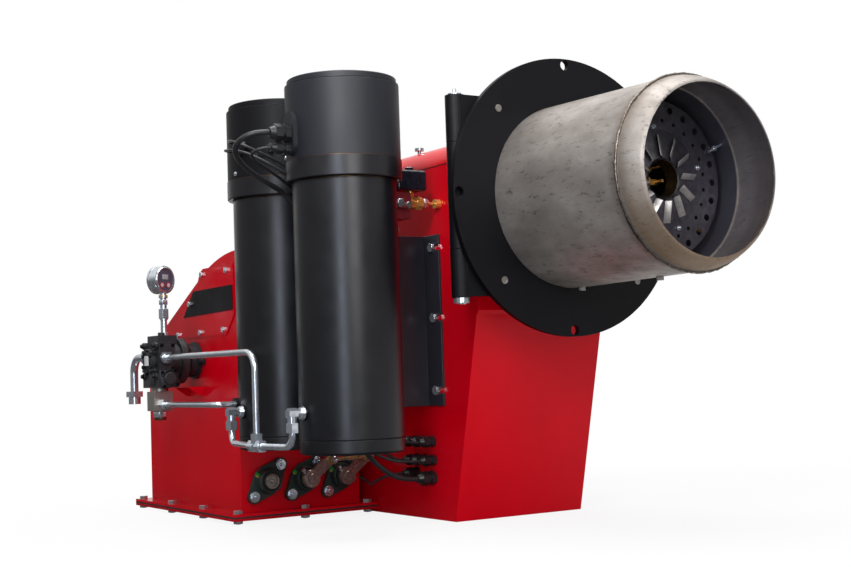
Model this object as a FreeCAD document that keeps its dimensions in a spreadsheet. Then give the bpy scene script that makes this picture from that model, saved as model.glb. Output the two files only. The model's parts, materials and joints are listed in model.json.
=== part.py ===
import FreeCAD, Part
import math
import os
import Sketcher
from FreeCAD import Placement, Rotation, Vector

# Oil burner: fan housing, suction box with dampers, hinged boiler flange with blast tube,
# two oil heater vessels, oil pump with its pipes, and the cables between the glands.
# Millimetres. The origin is the centre of the boiler bolt circle on the flange face that
# meets the boiler. The blast tube points to -Y, the fan housing lies on +Y, and +Z is up.

SIZES = {
    # boiler flange
    "flange_radius": 304,
    "flange_thickness": 14,
    "boiler_bolt_radius": 290,
    "boiler_hole_radius": 11,
    "plate_screw_radius": 258,
    "plate_screw_shank": 5,
    "plate_screw_head": 8,
    "plate_screw_head_depth": 4,
    # blast tube
    "tube_radius": 199,
    "tube_front_radius": 192.5,
    "tube_length": 383,
    "tube_wall": 5,
    "weld_height": 2.5,
    "nose_length": 53,
    "mouth_radius": 169,
    "inner_ring_radius": 183.5,
    "inner_ring_depth": 316,
    # combustion head
    "diffuser_radius": 162.5,
    "diffuser_depth": 286,
    "diffuser_sheet": 3,
    "hub_radius": 40,
    "nozzle_setback": 38,
    "outer_hole_ring": 146,
    "outer_hole_radius": 7,
    "inner_hole_ring": 122,
    "inner_hole_radius": 4,
    "turbulator_radius": 100,
    "slot_count": 12,
    "lance_radius": 13,
    "lance_rear": 96,
    "lance_carrier": 60,
    # hinge
    "hinge_x": -267,
    "hinge_y": 39,
    "hinge_tube_radius": 21,
    "hinge_pin_radius": 12,
    "hinge_top": 210,
    "hinge_upper_joint": 110,
    "hinge_lower_joint": -116,
    "hinge_bottom": -217,
    "knuckle_gap": 0.6,
    "leaf_thickness": 12,
    "leaf_end": -150,
    "pin_fit": 0.05,
    # front collar
    "collar_radius": 235,
    "collar_wall": 6,
    "collar_rim_radius": 246,
    "collar_rim": 10,
    "collar_gasket": 2,
    "opening_radius": 138,
    # main housing
    "housing_front": 110,
    "housing_half_width": 176,
    "housing_rear": 1159,
    "housing_floor": -704,
    "knee_top": -240,
    "knee_bottom": -250,
    "knee_step": 9,
    "foot_front": 227,
    "rear_bend": 100,
    "seam_height": 96,
    "cover_top": 146,
    "sheet": 3,
    "knob_x": 140,
    "knob_front": 384,
    "knob_rear": 1010,
    "knob_radius": 11,
    # fan, shaft and motor
    "fan_y": 849,
    "fan_z": -322,
    "shaft_radius": 14,
    "impeller_radius": 225,
    "impeller_eye": 128,
    "impeller_left": -138,
    "impeller_right": -20,
    "impeller_hub": 40,
    "blade_count": 12,
    "scroll_radius": 262,
    "motor_radius": 130,
    "motor_rear": 560,
    "motor_cowl_length": 70,
    "rotor_radius": 70,
    "rotor_left": 240,
    "rotor_right": 470,
    "motor_seat": 150,
    # suction box
    "box_left": -521,
    "box_right": -208,
    "box_front": 602,
    "box_rear": 1159,
    "box_bottom": -680,
    "roof_centre_y": 584,
    "roof_centre_z": -588,
    "roof_radius": 518,
    "roof_break": 790,
    "roof_rear": -289,
    "spool_radius": 140,
    "spool_wall": 6,
    "flange_left": -554,
    "flange_front": 570,
    "flange_rear": 1192,
    "flange_plate": 6,
    "flange_gasket": 4,
    "intake_left": -500,
    "intake_right": -224,
    "intake_front": 624,
    "intake_rear": 1138,
    "flange_bolt_x": -538,
    "flange_bolt_middle": -365,
    "flange_bolt_right": -195,
    "flange_bolt_front": 586,
    "flange_bolt_shank": 6,
    "flange_bolt_width": 19,
    # inspection cover and bare plate
    "cover_sheet": 3,
    "cover_low": -266,
    "cover_high": -100,
    "cover_rear": 972,
    "cover_rear_top": 802,
    "cover_front": 612,
    "cover_corner": 46,
    "plate_sheet": 2,
    # damper bearings and dampers
    "damper_pitch": 97,
    "damper_middle": -361,
    "damper_z": -610,
    "damper_shaft": 12.5,
    "bearing_bolts_apart": 99,
    "bearing_tilt": 46,
    "bearing_plate": 12,
    "bearing_hub": 31,
    "bearing_depth": 30,
    "blade_half_width": 42,
    "blade_sheet": 4,
    "lever_length": 68,
    "lever_angle": 38,
    "lever_front": 555,
    "lever_depth": 12,
    "link_pin": 5,
    "rod_end_radius": 11,
    "rod_end_depth": 10,
    "open_pivot_clearance": 0.6,
    # heater vessels
    "vessel_radius": 109.55,
    "vessel_wall": 4,
    "front_vessel_x": -466,
    "front_vessel_y": 169,
    "rear_vessel_x": -457,
    "rear_vessel_y": 482,
    "vessel_bottom": -531,
    "groove_z": -501,
    "ring_low": 34,
    "ring_high": 76,
    "ring_radius": 122,
    "cap_radius": 120.5,
    "cap_top": 235,
    "lid_radius": 115.5,
    "lid_top": 249,
    "port_z": -444,
    # heater bracket
    "bracket_sheet": 6,
    "bracket_top": -60,
    "bracket_bottom": -447,
    "bracket_front": 253,
    "bracket_fold": 320,
    "bracket_end": -500,
    "bracket_bolt_y": 277,
    "bracket_bolt_high": -89,
    "bracket_bolt_middle": -248,
    "bracket_bolt_low": -412,
    # oil pump
    "pump_left": -646,
    "pump_right": -566,
    "pump_half": 48,
    "pump_face_y": 797,
    "lantern_flange": 8,
    "pump_shaft": 8,
    "manifold_top": -386,
    "manifold_half": 24,
    "manifold_bottom": -452,
    "pump_port_z": -314,
    "manifold_port_z": -427,
    "pipe_radius": 7,
    "suction_pipe_radius": 10,
    # pressure gauge
    "gauge_x": -602,
    "gauge_z": -123,
    "gauge_radius": 33,
    "gauge_depth": 34,
    "gauge_turn": 24.8,
    "button_radius": 5,
    # pipes between pump and vessels
    "pipe_x": -622,
    "tee_y": 300,
    "tee_z": -512,
    "nut_z": -473,
    # glands
    "small_gland_hex": 22,
    "big_gland_hex": 33,
    "gland_length": 40,
}


class Size:
    # a length together with the sheet expression that it comes from
    def __init__(self, number, words):
        self.number = float(number)
        self.words = words

    def __add__(self, other):
        other = as_size(other)
        return Size(self.number + other.number, "(%s + %s)" % (self.words, other.words))

    def __radd__(self, other):
        return as_size(other) + self

    def __sub__(self, other):
        other = as_size(other)
        return Size(self.number - other.number, "(%s - %s)" % (self.words, other.words))

    def __rsub__(self, other):
        return as_size(other) - self

    def __mul__(self, other):
        other = as_size(other)
        return Size(self.number * other.number, "(%s * %s)" % (self.words, other.words))

    def __rmul__(self, other):
        return as_size(other) * self

    def __truediv__(self, other):
        other = as_size(other)
        return Size(self.number / other.number, "(%s / %s)" % (self.words, other.words))

    def __neg__(self):
        return Size(-self.number, "(-1 * %s)" % self.words)


def as_size(value):
    if isinstance(value, Size):
        return value
    return Size(value, "(%r)" % float(value))


def root(size):
    return Size(math.sqrt(size.number), "sqrt(%s)" % size.words)


def along(size, degrees):
    # the two legs of a length that stands at an angle
    size = as_size(size)
    angle = as_size(degrees)
    turn = math.radians(angle.number)
    first = Size(size.number * math.cos(turn), "(%s * cos(%s * 1 deg))" % (size.words, angle.words))
    second = Size(size.number * math.sin(turn), "(%s * sin(%s * 1 deg))" % (size.words, angle.words))
    return first, second


class Sheet:
    pass


doc = FreeCAD.newDocument("oil_burner")
sheet = doc.addObject("Spreadsheet::Sheet", "Sizes")
s = Sheet()
for row, (alias, value) in enumerate(SIZES.items(), start=1):
    sheet.set("A%d" % row, alias)
    sheet.set("B%d" % row, str(value))
    sheet.setAlias("B%d" % row, alias)
    setattr(s, alias, Size(value, "Sizes." + alias))
doc.recompute()

TURNS = {
    "Z": Rotation(),
    "-Z": Rotation(Vector(1, 0, 0), 180),
    "X": Rotation(Vector(0, 1, 0), 90),
    "-X": Rotation(Vector(0, 1, 0), -90),
    "Y": Rotation(Vector(1, 0, 0), -90),
    "-Y": Rotation(Vector(1, 0, 0), 90),
    "side": Rotation(Vector(1, 1, 1), 120),
}
nodes = []


def bind(thing, name, size):
    thing.setExpression(name, as_size(size).words)


def seat(thing, place, direction="Z", spin=0):
    base = Vector(*[as_size(part).number for part in place])
    turn = TURNS[direction] if isinstance(direction, str) else direction
    thing.Placement = Placement(base, turn.multiply(Rotation(Vector(0, 0, 1), spin)))
    for axis, part in zip("xyz", place):
        bind(thing, "Placement.Base." + axis, part)


def node(thing, name):
    thing.Label = name
    nodes.append(thing)
    return thing


def cylinder(name, radius, length, place, direction="Z"):
    thing = doc.addObject("Part::Cylinder", name)
    bind(thing, "Radius", radius)
    bind(thing, "Height", length)
    seat(thing, place, direction)
    return thing


def cone(name, low, high, length, place, direction="Z"):
    thing = doc.addObject("Part::Cone", name)
    bind(thing, "Radius1", low)
    bind(thing, "Radius2", high)
    bind(thing, "Height", length)
    seat(thing, place, direction)
    return thing


def box(name, across, along_y, up):
    # a box from its low and high limits on each axis
    thing = doc.addObject("Part::Box", name)
    for prop, (low, high) in zip(("Length", "Width", "Height"), (across, along_y, up)):
        bind(thing, prop, as_size(high) - low)
    seat(thing, (across[0], along_y[0], up[0]))
    return thing


def hexagon(name, width, length, place, direction="Z", spin=0):
    thing = doc.addObject("Part::Prism", name)
    thing.Polygon = 6
    bind(thing, "Circumradius", as_size(width) / math.sqrt(3))
    bind(thing, "Height", length)
    seat(thing, place, direction, spin)
    return thing


def fuse(name, parts):
    thing = doc.addObject("Part::MultiFuse", name)
    thing.Shapes = parts
    return thing


def group(name, parts):
    thing = doc.addObject("Part::Compound", name)
    thing.Links = parts
    return thing


def cut(name, base, tools):
    tool = tools[0] if len(tools) == 1 else fuse(name + "_tools", tools)
    thing = doc.addObject("Part::Cut", name)
    thing.Base = base
    thing.Tool = tool
    return thing


def common(name, base, tool):
    thing = doc.addObject("Part::Common", name)
    thing.Base = base
    thing.Tool = tool
    return thing


def plane_of(body, role):
    return [feature for feature in body.Origin.OriginFeatures if feature.Role == role][0]


def new_sketch(body, name, role):
    sketch = body.newObject("Sketcher::SketchObject", name)
    sketch.AttachmentSupport = [(plane_of(body, role), "")]
    sketch.MapMode = "FlatFace"
    return sketch


def pin_point(sketch, index, end, x, y):
    for kind, part in (("DistanceX", as_size(x)), ("DistanceY", as_size(y))):
        rule = sketch.addConstraint(Sketcher.Constraint(kind, -1, 1, index, end, part.number))
        sketch.setExpression("Constraints[%d]" % rule, part.words)


def arc_between(start, end, radius):
    # a positive radius turns left on the way from start to end, a negative one turns right
    chord = end - start
    half = chord.Length / 2
    left = Vector(-chord.y, chord.x, 0).normalize()
    reach = math.sqrt(max(radius * radius - half * half, 0))
    side = 1 if radius > 0 else -1
    centre = (start + end) * 0.5 + left * reach * side
    first, last = (start, end) if radius > 0 else (end, start)
    angles = [math.atan2(point.y - centre.y, point.x - centre.x) for point in (first, last)]
    circle = Part.Circle(centre, Vector(0, 0, 1), abs(radius))
    return Part.ArcOfCircle(circle, angles[0], angles[1])


def outline(sketch, corners):
    # a closed outline: each corner is (x, y), or (x, y, radius) when an arc leaves it
    count = len(corners)
    points = [Vector(as_size(corner[0]).number, as_size(corner[1]).number, 0) for corner in corners]
    ends = []
    for i, corner in enumerate(corners):
        start, end = points[i], points[(i + 1) % count]
        if len(corner) == 2:
            index = sketch.addGeometry(Part.LineSegment(start, end))
            ends.append((index, 1, 2))
        else:
            radius = as_size(corner[2])
            index = sketch.addGeometry(arc_between(start, end, radius.number))
            ends.append((index, 1, 2) if radius.number > 0 else (index, 2, 1))
            size = radius if radius.number > 0 else -radius
            rule = sketch.addConstraint(Sketcher.Constraint("Radius", index, size.number))
            sketch.setExpression("Constraints[%d]" % rule, size.words)
    for i, (index, first, last) in enumerate(ends):
        following = ends[(i + 1) % count]
        sketch.addConstraint(Sketcher.Constraint("Coincident", index, last, following[0], following[1]))
        pin_point(sketch, index, first, corners[i][0], corners[i][1])


def circle(sketch, x, y, radius):
    centre = Vector(as_size(x).number, as_size(y).number, 0)
    size = as_size(radius)
    index = sketch.addGeometry(Part.Circle(centre, Vector(0, 0, 1), size.number))
    rule = sketch.addConstraint(Sketcher.Constraint("Radius", index, size.number))
    sketch.setExpression("Constraints[%d]" % rule, size.words)
    pin_point(sketch, index, 3, x, y)


def pad(name, corners, thickness, place, direction="Z", spin=0, holes=(), disc=None):
    # a plate: its outline, or a disc of one radius, padded by its thickness, with round holes
    body = doc.addObject("PartDesign::Body", name)
    sketch = new_sketch(body, name + "_outline", "XY_Plane")
    if disc is None:
        outline(sketch, corners)
    else:
        circle(sketch, 0, 0, disc)
    for x, y, radius in holes:
        circle(sketch, x, y, radius)
    feature = body.newObject("PartDesign::Pad", name + "_pad")
    feature.Profile = sketch
    bind(feature, "Length", thickness)
    seat(body, place, direction, spin)
    return body


def turned(name, corners, place, direction="Z"):
    # a turned piece from its half section, given as (radius, distance along the axis)
    body = doc.addObject("PartDesign::Body", name)
    sketch = new_sketch(body, name + "_section", "XZ_Plane")
    outline(sketch, corners)
    feature = body.newObject("PartDesign::Revolution", name + "_turn")
    feature.Profile = sketch
    feature.ReferenceAxis = (sketch, ["V_Axis"])
    feature.Angle = 360
    seat(body, place, direction)
    return body


def ring(name, outer, inner, length, place, direction="Z"):
    return turned(name, [(inner, 0), (outer, 0), (outer, length), (inner, length)], place, direction)


def bolt(name, place, direction, width, head, shank, length, nut=0, grip=0):
    # a hexagon head on the seat, the shank running back from it, and a nut beyond the grip
    back = {"Z": "-Z", "-Z": "Z", "X": "-X", "-X": "X", "Y": "-Y", "-Y": "Y"}[direction]
    parts = [
        hexagon(name + "_head", width, head, place, direction, 15),
        cylinder(name + "_shank", shank, length, place, back),
    ]
    if nut:
        axis = "xyz".index(direction[-1].lower())
        sign = 1 if direction[0] == "-" else -1
        behind = list(place)
        behind[axis] = as_size(place[axis]) + as_size(grip) * sign
        parts.append(hexagon(name + "_nut", width, nut, tuple(behind), back, 15))
    return fuse(name, parts)


def numbers(point):
    return Vector(*[as_size(part).number for part in point])


def tube_path(points, radii):
    # straight runs joined by tangent arcs
    places = [numbers(point) for point in points]
    edges = []
    start = places[0]
    for i in range(1, len(places) - 1):
        before = (places[i] - places[i - 1]).normalize()
        after = (places[i + 1] - places[i]).normalize()
        half_turn = before.getAngle(after) / 2
        reach = radii[i - 1] * math.tan(half_turn)
        entry = places[i] - before * reach
        leave = places[i] + after * reach
        inward = (after - before).normalize()
        centre = places[i] + inward * (radii[i - 1] / math.cos(half_turn))
        middle = centre - inward * radii[i - 1]
        edges.append(Part.LineSegment(start, entry).toShape())
        edges.append(Part.Arc(entry, middle, leave).toShape())
        start = leave
    edges.append(Part.LineSegment(start, places[-1]).toShape())
    return Part.Wire(edges)


def tube(name, points, radius, bends=None, bore=0):
    # a pipe with the bend radii given, or a cable whose arcs are as large as its runs allow
    places = [numbers(point) for point in points]
    size = as_size(radius).number
    if bends is None:
        bends = []
        for i in range(1, len(places) - 1):
            runs = (places[i] - places[i - 1], places[i + 1] - places[i])
            half_turn = runs[0].getAngle(runs[1]) / 2
            bends.append(0.45 * min(run.Length for run in runs) / math.tan(half_turn))
        print(name, "arc radii", " ".join("%.0f" % bend for bend in bends))
    path = tube_path(points, bends)
    first = (places[1] - places[0]).normalize()
    section = Part.Face(Part.Wire(Part.makeCircle(size, places[0], first)))
    if bore:
        hollow = Part.Face(Part.Wire(Part.makeCircle(as_size(bore).number, places[0], first)))
        section = section.cut(hollow)
    shape = path.makePipe(section)
    expected = section.Area * path.Length
    if abs(shape.Volume - expected) > 0.01 * expected:
        print(name, "volume", shape.Volume, "expected", expected)
    thing = doc.addObject("Part::Feature", name)
    thing.Shape = shape
    return thing


# Main housing: folded sheet, front leaning back towards the foot
rear_side = s.housing_rear
lean = (s.foot_front - s.housing_front - s.knee_step) / (s.knee_bottom - s.housing_floor)
lean_length = root(lean * lean + 1)


def housing_section(inset):
    # the side outline, moved inwards by the sheet; the foot edge follows the leaning front
    front = s.housing_front + inset
    foot = s.foot_front + lean_length * inset - lean * inset
    return [
        (front, s.seam_height),
        (front, s.knee_top),
        (s.housing_front + s.knee_step + inset, s.knee_bottom),
        (foot, s.housing_floor + inset),
        (rear_side - s.rear_bend, s.housing_floor + inset, s.rear_bend - inset),
        (rear_side - inset, s.housing_floor + s.rear_bend),
        (rear_side - inset, s.seam_height),
    ]


def box_section(inset):
    # side outline of the suction box: curved roof, then a straight slope to the rear
    radius = s.roof_radius - inset
    front = s.box_front + inset
    rear = s.box_rear - inset

    def roof(y):
        from_centre = y - s.roof_centre_y
        return s.roof_centre_z + root(radius * radius - from_centre * from_centre)

    break_z = roof(s.roof_break)
    outer_break = s.roof_centre_z + root(
        s.roof_radius * s.roof_radius
        - (s.roof_break - s.roof_centre_y) * (s.roof_break - s.roof_centre_y)
    )
    slope = (outer_break - s.roof_rear) / (s.box_rear - s.roof_break)
    drop = root(slope * slope + 1) * inset
    return [
        (front, s.box_bottom),
        (rear, s.box_bottom),
        (rear, s.roof_rear + slope * inset - drop),
        (s.roof_break, break_z, radius),
        (front, roof(front)),
    ]


half = s.housing_half_width

casing_block = pad("casing_block", housing_section(0), half * 2, (-half, 0, 0), "side")
casing_core = pad(
    "casing_core", housing_section(s.sheet), half * 2 - s.sheet * 2, (s.sheet - half, 0, 0), "side"
)
front_opening = cylinder(
    "front_opening", s.opening_radius, s.collar_rim * 4, (0, s.housing_front - s.collar_rim * 2, 0), "Y"
)
inlet_opening = cylinder(
    "inlet_opening", s.spool_radius - s.spool_wall,
    s.sheet * 4, (-half - s.sheet * 2, s.fan_y, s.fan_z), "X"
)
motor_opening = cylinder(
    "motor_opening", s.shaft_radius * 3, s.sheet * 4, (half - s.sheet * 2, s.fan_y, s.fan_z), "X"
)
top_opening = box(
    "top_opening",
    (s.sheet - half, half - s.sheet),
    (s.housing_front + s.sheet, rear_side - s.sheet),
    (s.seam_height - s.sheet * 2, s.seam_height + s.sheet * 2),
)
node(
    cut("casing", casing_block, [casing_core, front_opening, inlet_opening, motor_opening, top_opening]),
    "main_housing",
)

# Top cover with rounded long edges
cover_bend = s.cover_top - s.seam_height


def cover_block(name, inset, low):
    # local x is X and local y is Z; the pad runs to -Y from the rear
    side_x = half - inset
    bend = cover_bend - inset
    corners = [
        (-side_x, low),
        (side_x, low),
        (side_x, s.seam_height, bend),
        (side_x - bend, s.cover_top - inset),
        (bend - side_x, s.cover_top - inset, bend),
        (-side_x, s.seam_height),
    ]
    length = s.housing_rear - s.housing_front - as_size(inset) * 2
    return pad(name, corners, length, (0, s.housing_rear - inset, 0), "-Y")


cover_low = s.seam_height - 0.5
cover_outer = cover_block("cover_outer", 0, cover_low)
cover_inner = cover_block("cover_inner", s.sheet, cover_low - 1)
cover_front_opening = cylinder(
    "cover_front_opening", s.opening_radius, s.collar_rim * 4,
    (0, s.housing_front - s.collar_rim * 2, 0), "Y",
)
cover_trim = box(
    "cover_trim", (-half - 1, half + 1),
    (s.housing_front - 1, s.housing_rear + 1), (cover_low - 2, s.seam_height)
)
node(cut("cover", cover_outer, [cover_inner, cover_front_opening, cover_trim]), "top_cover")

# Knurled screws that hold the top cover
knobs = []
for side_sign in (-1, 1):
    for position in (s.knob_front, s.knob_rear):
        tag = "knob_%d" % len(knobs)
        rise = root(
            (cover_bend * cover_bend)
            - (s.knob_x - half + cover_bend) * (s.knob_x - half + cover_bend)
        )
        foot_z = s.seam_height + rise
        stem = cylinder(tag + "_stem", s.knob_radius * 0.4, 12, (s.knob_x * side_sign, position, foot_z))
        head = cylinder(tag + "_head", s.knob_radius, 7, (s.knob_x * side_sign, position, foot_z + 6))
        whole = fuse(tag, [stem, head])
        knobs.append(cut(tag + "_seated", whole, [cover_outer]))
node(group("knobs", knobs), "top_cover_knobs")

# Front collar between the housing and the boiler flange
collar_length = s.housing_front - s.flange_thickness - s.collar_gasket
collar = turned("collar", [
    (s.opening_radius, 0),
    (s.collar_rim_radius, 0),
    (s.collar_rim_radius, s.collar_rim),
    (s.collar_radius, s.collar_rim),
    (s.collar_radius, collar_length),
    (s.collar_radius - s.collar_wall, collar_length),
    (s.collar_radius - s.collar_wall, s.collar_wall),
    (s.opening_radius, s.collar_wall),
], (0, s.housing_front, 0), "-Y")
node(collar, "front_collar")
node(
    ring("rope_gasket", s.collar_radius, s.collar_radius - s.collar_wall, s.collar_gasket,
         (0, s.flange_thickness + s.collar_gasket, 0), "-Y"),
    "collar_gasket",
)

# Hinge: fixed middle knuckle with its arm, moving knuckles with leaves, and the pin
knuckle_bore = s.hinge_pin_radius + s.pin_fit
leaf_back = s.flange_thickness + s.leaf_thickness


def knuckle(name, low, high):
    place = (s.hinge_x, s.hinge_y, low)
    return ring(name, s.hinge_tube_radius, knuckle_bore, high - low, place)


arm_front = s.hinge_y - s.hinge_tube_radius * 0.5
middle_low = s.hinge_lower_joint + s.knuckle_gap
middle_high = s.hinge_upper_joint - s.knuckle_gap
collar_core = cylinder("collar_core", s.collar_radius, s.housing_front, (0, 0, 0), "Y")
arm_bore = cylinder(
    "arm_bore", s.hinge_tube_radius - 1, middle_high - middle_low, (s.hinge_x, s.hinge_y, middle_low)
)
arm = box(
    "arm", (s.hinge_x, s.hinge_x + s.hinge_tube_radius * 3),
    (arm_front, s.hinge_y + s.hinge_tube_radius * 0.5),
    (middle_low + 4, middle_high - 4),
)
hinge_arm = cut("hinge_arm", arm, [collar_core, arm_bore])
node(fuse("fixed_hinge", [knuckle("middle_knuckle", middle_low, middle_high), hinge_arm]), "hinge_bracket")

leaf_clear = cylinder("leaf_clear", s.collar_radius + 5, s.housing_front, (0, 0, 0), "Y")
leaves = []
screw_x, screw_z = along(s.plate_screw_radius, 45)
screw_cuts = []
for side_sign in (-1, 1):
    for height_sign in (-1, 1):
        tag = "plate_screw_hole_%d" % len(screw_cuts)
        screw_cuts.append(cylinder(
            tag, s.plate_screw_shank + 0.1, leaf_back + 2,
            (screw_x * side_sign, -1, screw_z * height_sign), "Y"
        ))
for tag, low, high in (
    ("upper", s.hinge_upper_joint, s.hinge_top),
    ("lower", s.hinge_bottom, s.hinge_lower_joint),
):
    leaf = box(
        tag + "_leaf", (s.hinge_x, s.leaf_end), (s.flange_thickness, leaf_back),
        (low + 2, high - 2),
    )
    barrel = knuckle(tag + "_knuckle", low, high)
    barrel_core = cylinder(tag + "_core", s.hinge_tube_radius - 1, high - low, (s.hinge_x, s.hinge_y, low))
    trimmed = cut(tag + "_leaf_trimmed", leaf, [leaf_clear, barrel_core] + screw_cuts[:2])
    leaves.append(fuse(tag + "_hinge", [barrel, trimmed]))
for tag, height_sign in (("upper", 1), ("lower", -1)):
    low_z = screw_z * height_sign - 26
    lug = box(
        tag + "_lug", (screw_x - 16, screw_x + 26), (s.flange_thickness, leaf_back), (low_z, low_z + 52)
    )
    leaves.append(cut(tag + "_lug_trimmed", lug, [leaf_clear] + screw_cuts[2:]))
node(group("leaf_group", leaves), "hinge_leaves")

pin_top = s.hinge_top + 4
hinge_pin = turned("pin", [
    (0, s.hinge_bottom - 14),
    (9, s.hinge_bottom - 14),
    (9, s.hinge_bottom - 12),
    (17, s.hinge_bottom - 12),
    (17, s.hinge_bottom),
    (s.hinge_pin_radius, s.hinge_bottom),
    (s.hinge_pin_radius, s.hinge_top),
    (15, s.hinge_top),
    (15, pin_top),
    (4, pin_top),
    (4, pin_top + 8),
    (2.5, pin_top + 12),
    (0, pin_top + 12),
], (s.hinge_x, s.hinge_y, 0))
node(hinge_pin, "hinge_pin")

# Boiler flange
flange_holes = [(0, 0, s.tube_radius + 0.2)]
for x_sign, z_sign in ((1, 0), (-1, 0), (0, 1), (0, -1)):
    flange_holes.append(
        (s.boiler_bolt_radius * x_sign, s.boiler_bolt_radius * z_sign, s.boiler_hole_radius)
    )
flange_disc = pad(
    "flange_disc", [], s.flange_thickness, (0, s.flange_thickness, 0), "-Y", holes=flange_holes,
    disc=s.flange_radius,
)
head_cuts = []
screws = []
for side_sign in (-1, 1):
    for height_sign in (-1, 1):
        tag = "plate_screw_%d" % len(screws)
        place = (screw_x * side_sign, 0, screw_z * height_sign)
        head_cuts.append(
            cylinder(tag + "_sink", s.plate_screw_head + 0.1, s.plate_screw_head_depth, place, "Y")
        )
        screws.append(fuse(tag, [
            cylinder(tag + "_head", s.plate_screw_head, s.plate_screw_head_depth, place, "Y"),
            cylinder(tag + "_shank", s.plate_screw_shank, leaf_back, place, "Y"),
        ]))
node(cut("flange", flange_disc, head_cuts + screw_cuts), "boiler_flange")

# Blast tube with its weld bead, tapered nose and inner air ring
weld_front = s.tube_length + 7
nose_end = s.tube_length + s.nose_length
front_inner = s.tube_front_radius - s.tube_wall
tube_body = turned("tube_shell", [
    (s.tube_radius - s.tube_wall, -s.flange_thickness),
    (s.tube_radius, -s.flange_thickness),
    (s.tube_radius, 2),
    (s.tube_front_radius, s.tube_length - 7),
    (s.tube_front_radius + s.weld_height, s.tube_length, -12),
    (s.tube_front_radius - 1, weld_front, 110),
    (s.mouth_radius + s.tube_wall, nose_end - 2),
    (s.mouth_radius + 1, nose_end),
    (s.mouth_radius, nose_end - 2, -105),
    (front_inner, weld_front),
    (front_inner, s.inner_ring_depth + 4),
    (s.inner_ring_radius, s.inner_ring_depth + 4),
    (s.inner_ring_radius, s.inner_ring_depth),
    (front_inner, s.inner_ring_depth),
], (0, 0, 0), "-Y")
node(tube_body, "blast_tube")
for i, (depth, outer) in enumerate(((29, s.tube_radius), (277, s.tube_front_radius + 2))):
    low_screw = hexagon("low_screw_%d" % i, 14, 9, (0, -depth, 1.5 - outer), "-Z")
    screws.append(cut("low_screw_%d_seated" % i, low_screw, [tube_body]))
node(group("plate_screws", screws), "flange_screws")

# Diffuser disc with two rows of holes and the slotted turbulator
diffuser_holes = [(0, 0, s.hub_radius)]
for count, ring_radius, hole_radius, offset in (
    (24, s.outer_hole_ring, s.outer_hole_radius, 0),
    (24, s.inner_hole_ring, s.inner_hole_radius, 7.5),
):
    for i in range(count):
        x, y = along(ring_radius, offset + i * 360 / count)
        diffuser_holes.append((x, y, hole_radius))
diffuser_disc = pad(
    "diffuser_disc", [], s.diffuser_sheet, (0, -s.diffuser_depth + s.diffuser_sheet, 0), "-Y",
    holes=diffuser_holes, disc=s.diffuser_radius,
)
turbulator_depth = 14
turbulator = turned("turbulator", [
    (s.hub_radius, 0),
    (s.turbulator_radius, 0),
    (s.turbulator_radius, 4),
    (s.hub_radius + 6, turbulator_depth),
    (s.hub_radius, turbulator_depth),
], (0, -s.diffuser_depth, 0), "-Y")
slots = []
for i in range(int(SIZES["slot_count"])):
    slot = doc.addObject("Part::Box", "slot_%d" % i)
    bind(slot, "Length", s.turbulator_radius - s.hub_radius - 8)
    bind(slot, "Width", 5)
    bind(slot, "Height", 40)
    angle = i * 360 / SIZES["slot_count"]
    out_x, out_z = along(s.hub_radius - 4, angle)
    spin = Rotation(Vector(0, 1, 0), -angle).multiply(TURNS["-Y"])
    seat(slot, (out_x, 20 - s.diffuser_depth, out_z), spin)
    slots.append(slot)
node(cut("diffuser_plate", fuse("diffuser_blank", [diffuser_disc, turbulator]), slots), "diffuser")

# Oil lance with the nozzle, the ignition electrodes and the carrier that guides it in the tube
nozzle_front = s.diffuser_depth - s.nozzle_setback
lance = turned("lance", [
    (0, -s.lance_rear),
    (s.lance_radius, -s.lance_rear),
    (s.lance_radius, nozzle_front - 34),
    (s.lance_radius + 9, nozzle_front - 28),
    (s.lance_radius + 9, nozzle_front - 12),
    (s.lance_radius - 2, nozzle_front - 6),
    (5, nozzle_front),
    (0, nozzle_front),
], (0, 0, 0), "-Y")
spokes = [lance]
spoke_gap = 0.3


def tube_inner(depth):
    # inner radius of the tapered tube at a depth in front of the boiler face
    share = (depth + s.flange_thickness) / (s.inner_ring_depth + s.flange_thickness)
    return s.tube_radius - s.tube_wall - (s.tube_radius - s.tube_front_radius) * share


carrier_y = -s.diffuser_depth + s.lance_carrier
for i in range(3):
    angle = 90 + i * 120
    spin = Rotation(Vector(0, 1, 0), -angle).multiply(TURNS["X"])
    inner_x, inner_z = along(s.lance_radius - 2, angle)
    spoke_length = tube_inner(s.diffuser_depth - s.lance_carrier + 4) - spoke_gap - s.lance_radius + 2
    spoke = cylinder("spoke_%d" % i, 4, spoke_length, (inner_x, carrier_y, inner_z), "X")
    seat(spoke, (inner_x, carrier_y, inner_z), spin)
    spokes.append(spoke)
for i in range(3):
    angle = 45 + i * 120
    post_x, post_z = along(s.hub_radius + 8, angle)
    bridge_depth = 12
    posts_start = carrier_y + bridge_depth / 2
    post = cylinder(
        "post_%d" % i, 3, s.lance_carrier + bridge_depth / 2 - s.diffuser_sheet,
        (post_x, posts_start, post_z), "-Y"
    )
    bridge = doc.addObject("Part::Box", "bridge_%d" % i)
    bind(bridge, "Length", s.hub_radius + 14 - s.lance_radius)
    bind(bridge, "Width", 10)
    bind(bridge, "Height", bridge_depth)
    link_x, link_z = along(s.lance_radius - 2, angle)
    side_x, side_z = along(as_size(5), angle + 90)
    spin = Rotation(Vector(0, 1, 0), -angle).multiply(TURNS["-Y"])
    seat(bridge, (link_x - side_x, carrier_y + bridge_depth, link_z - side_z), spin)
    spokes += [post, bridge]
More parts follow.
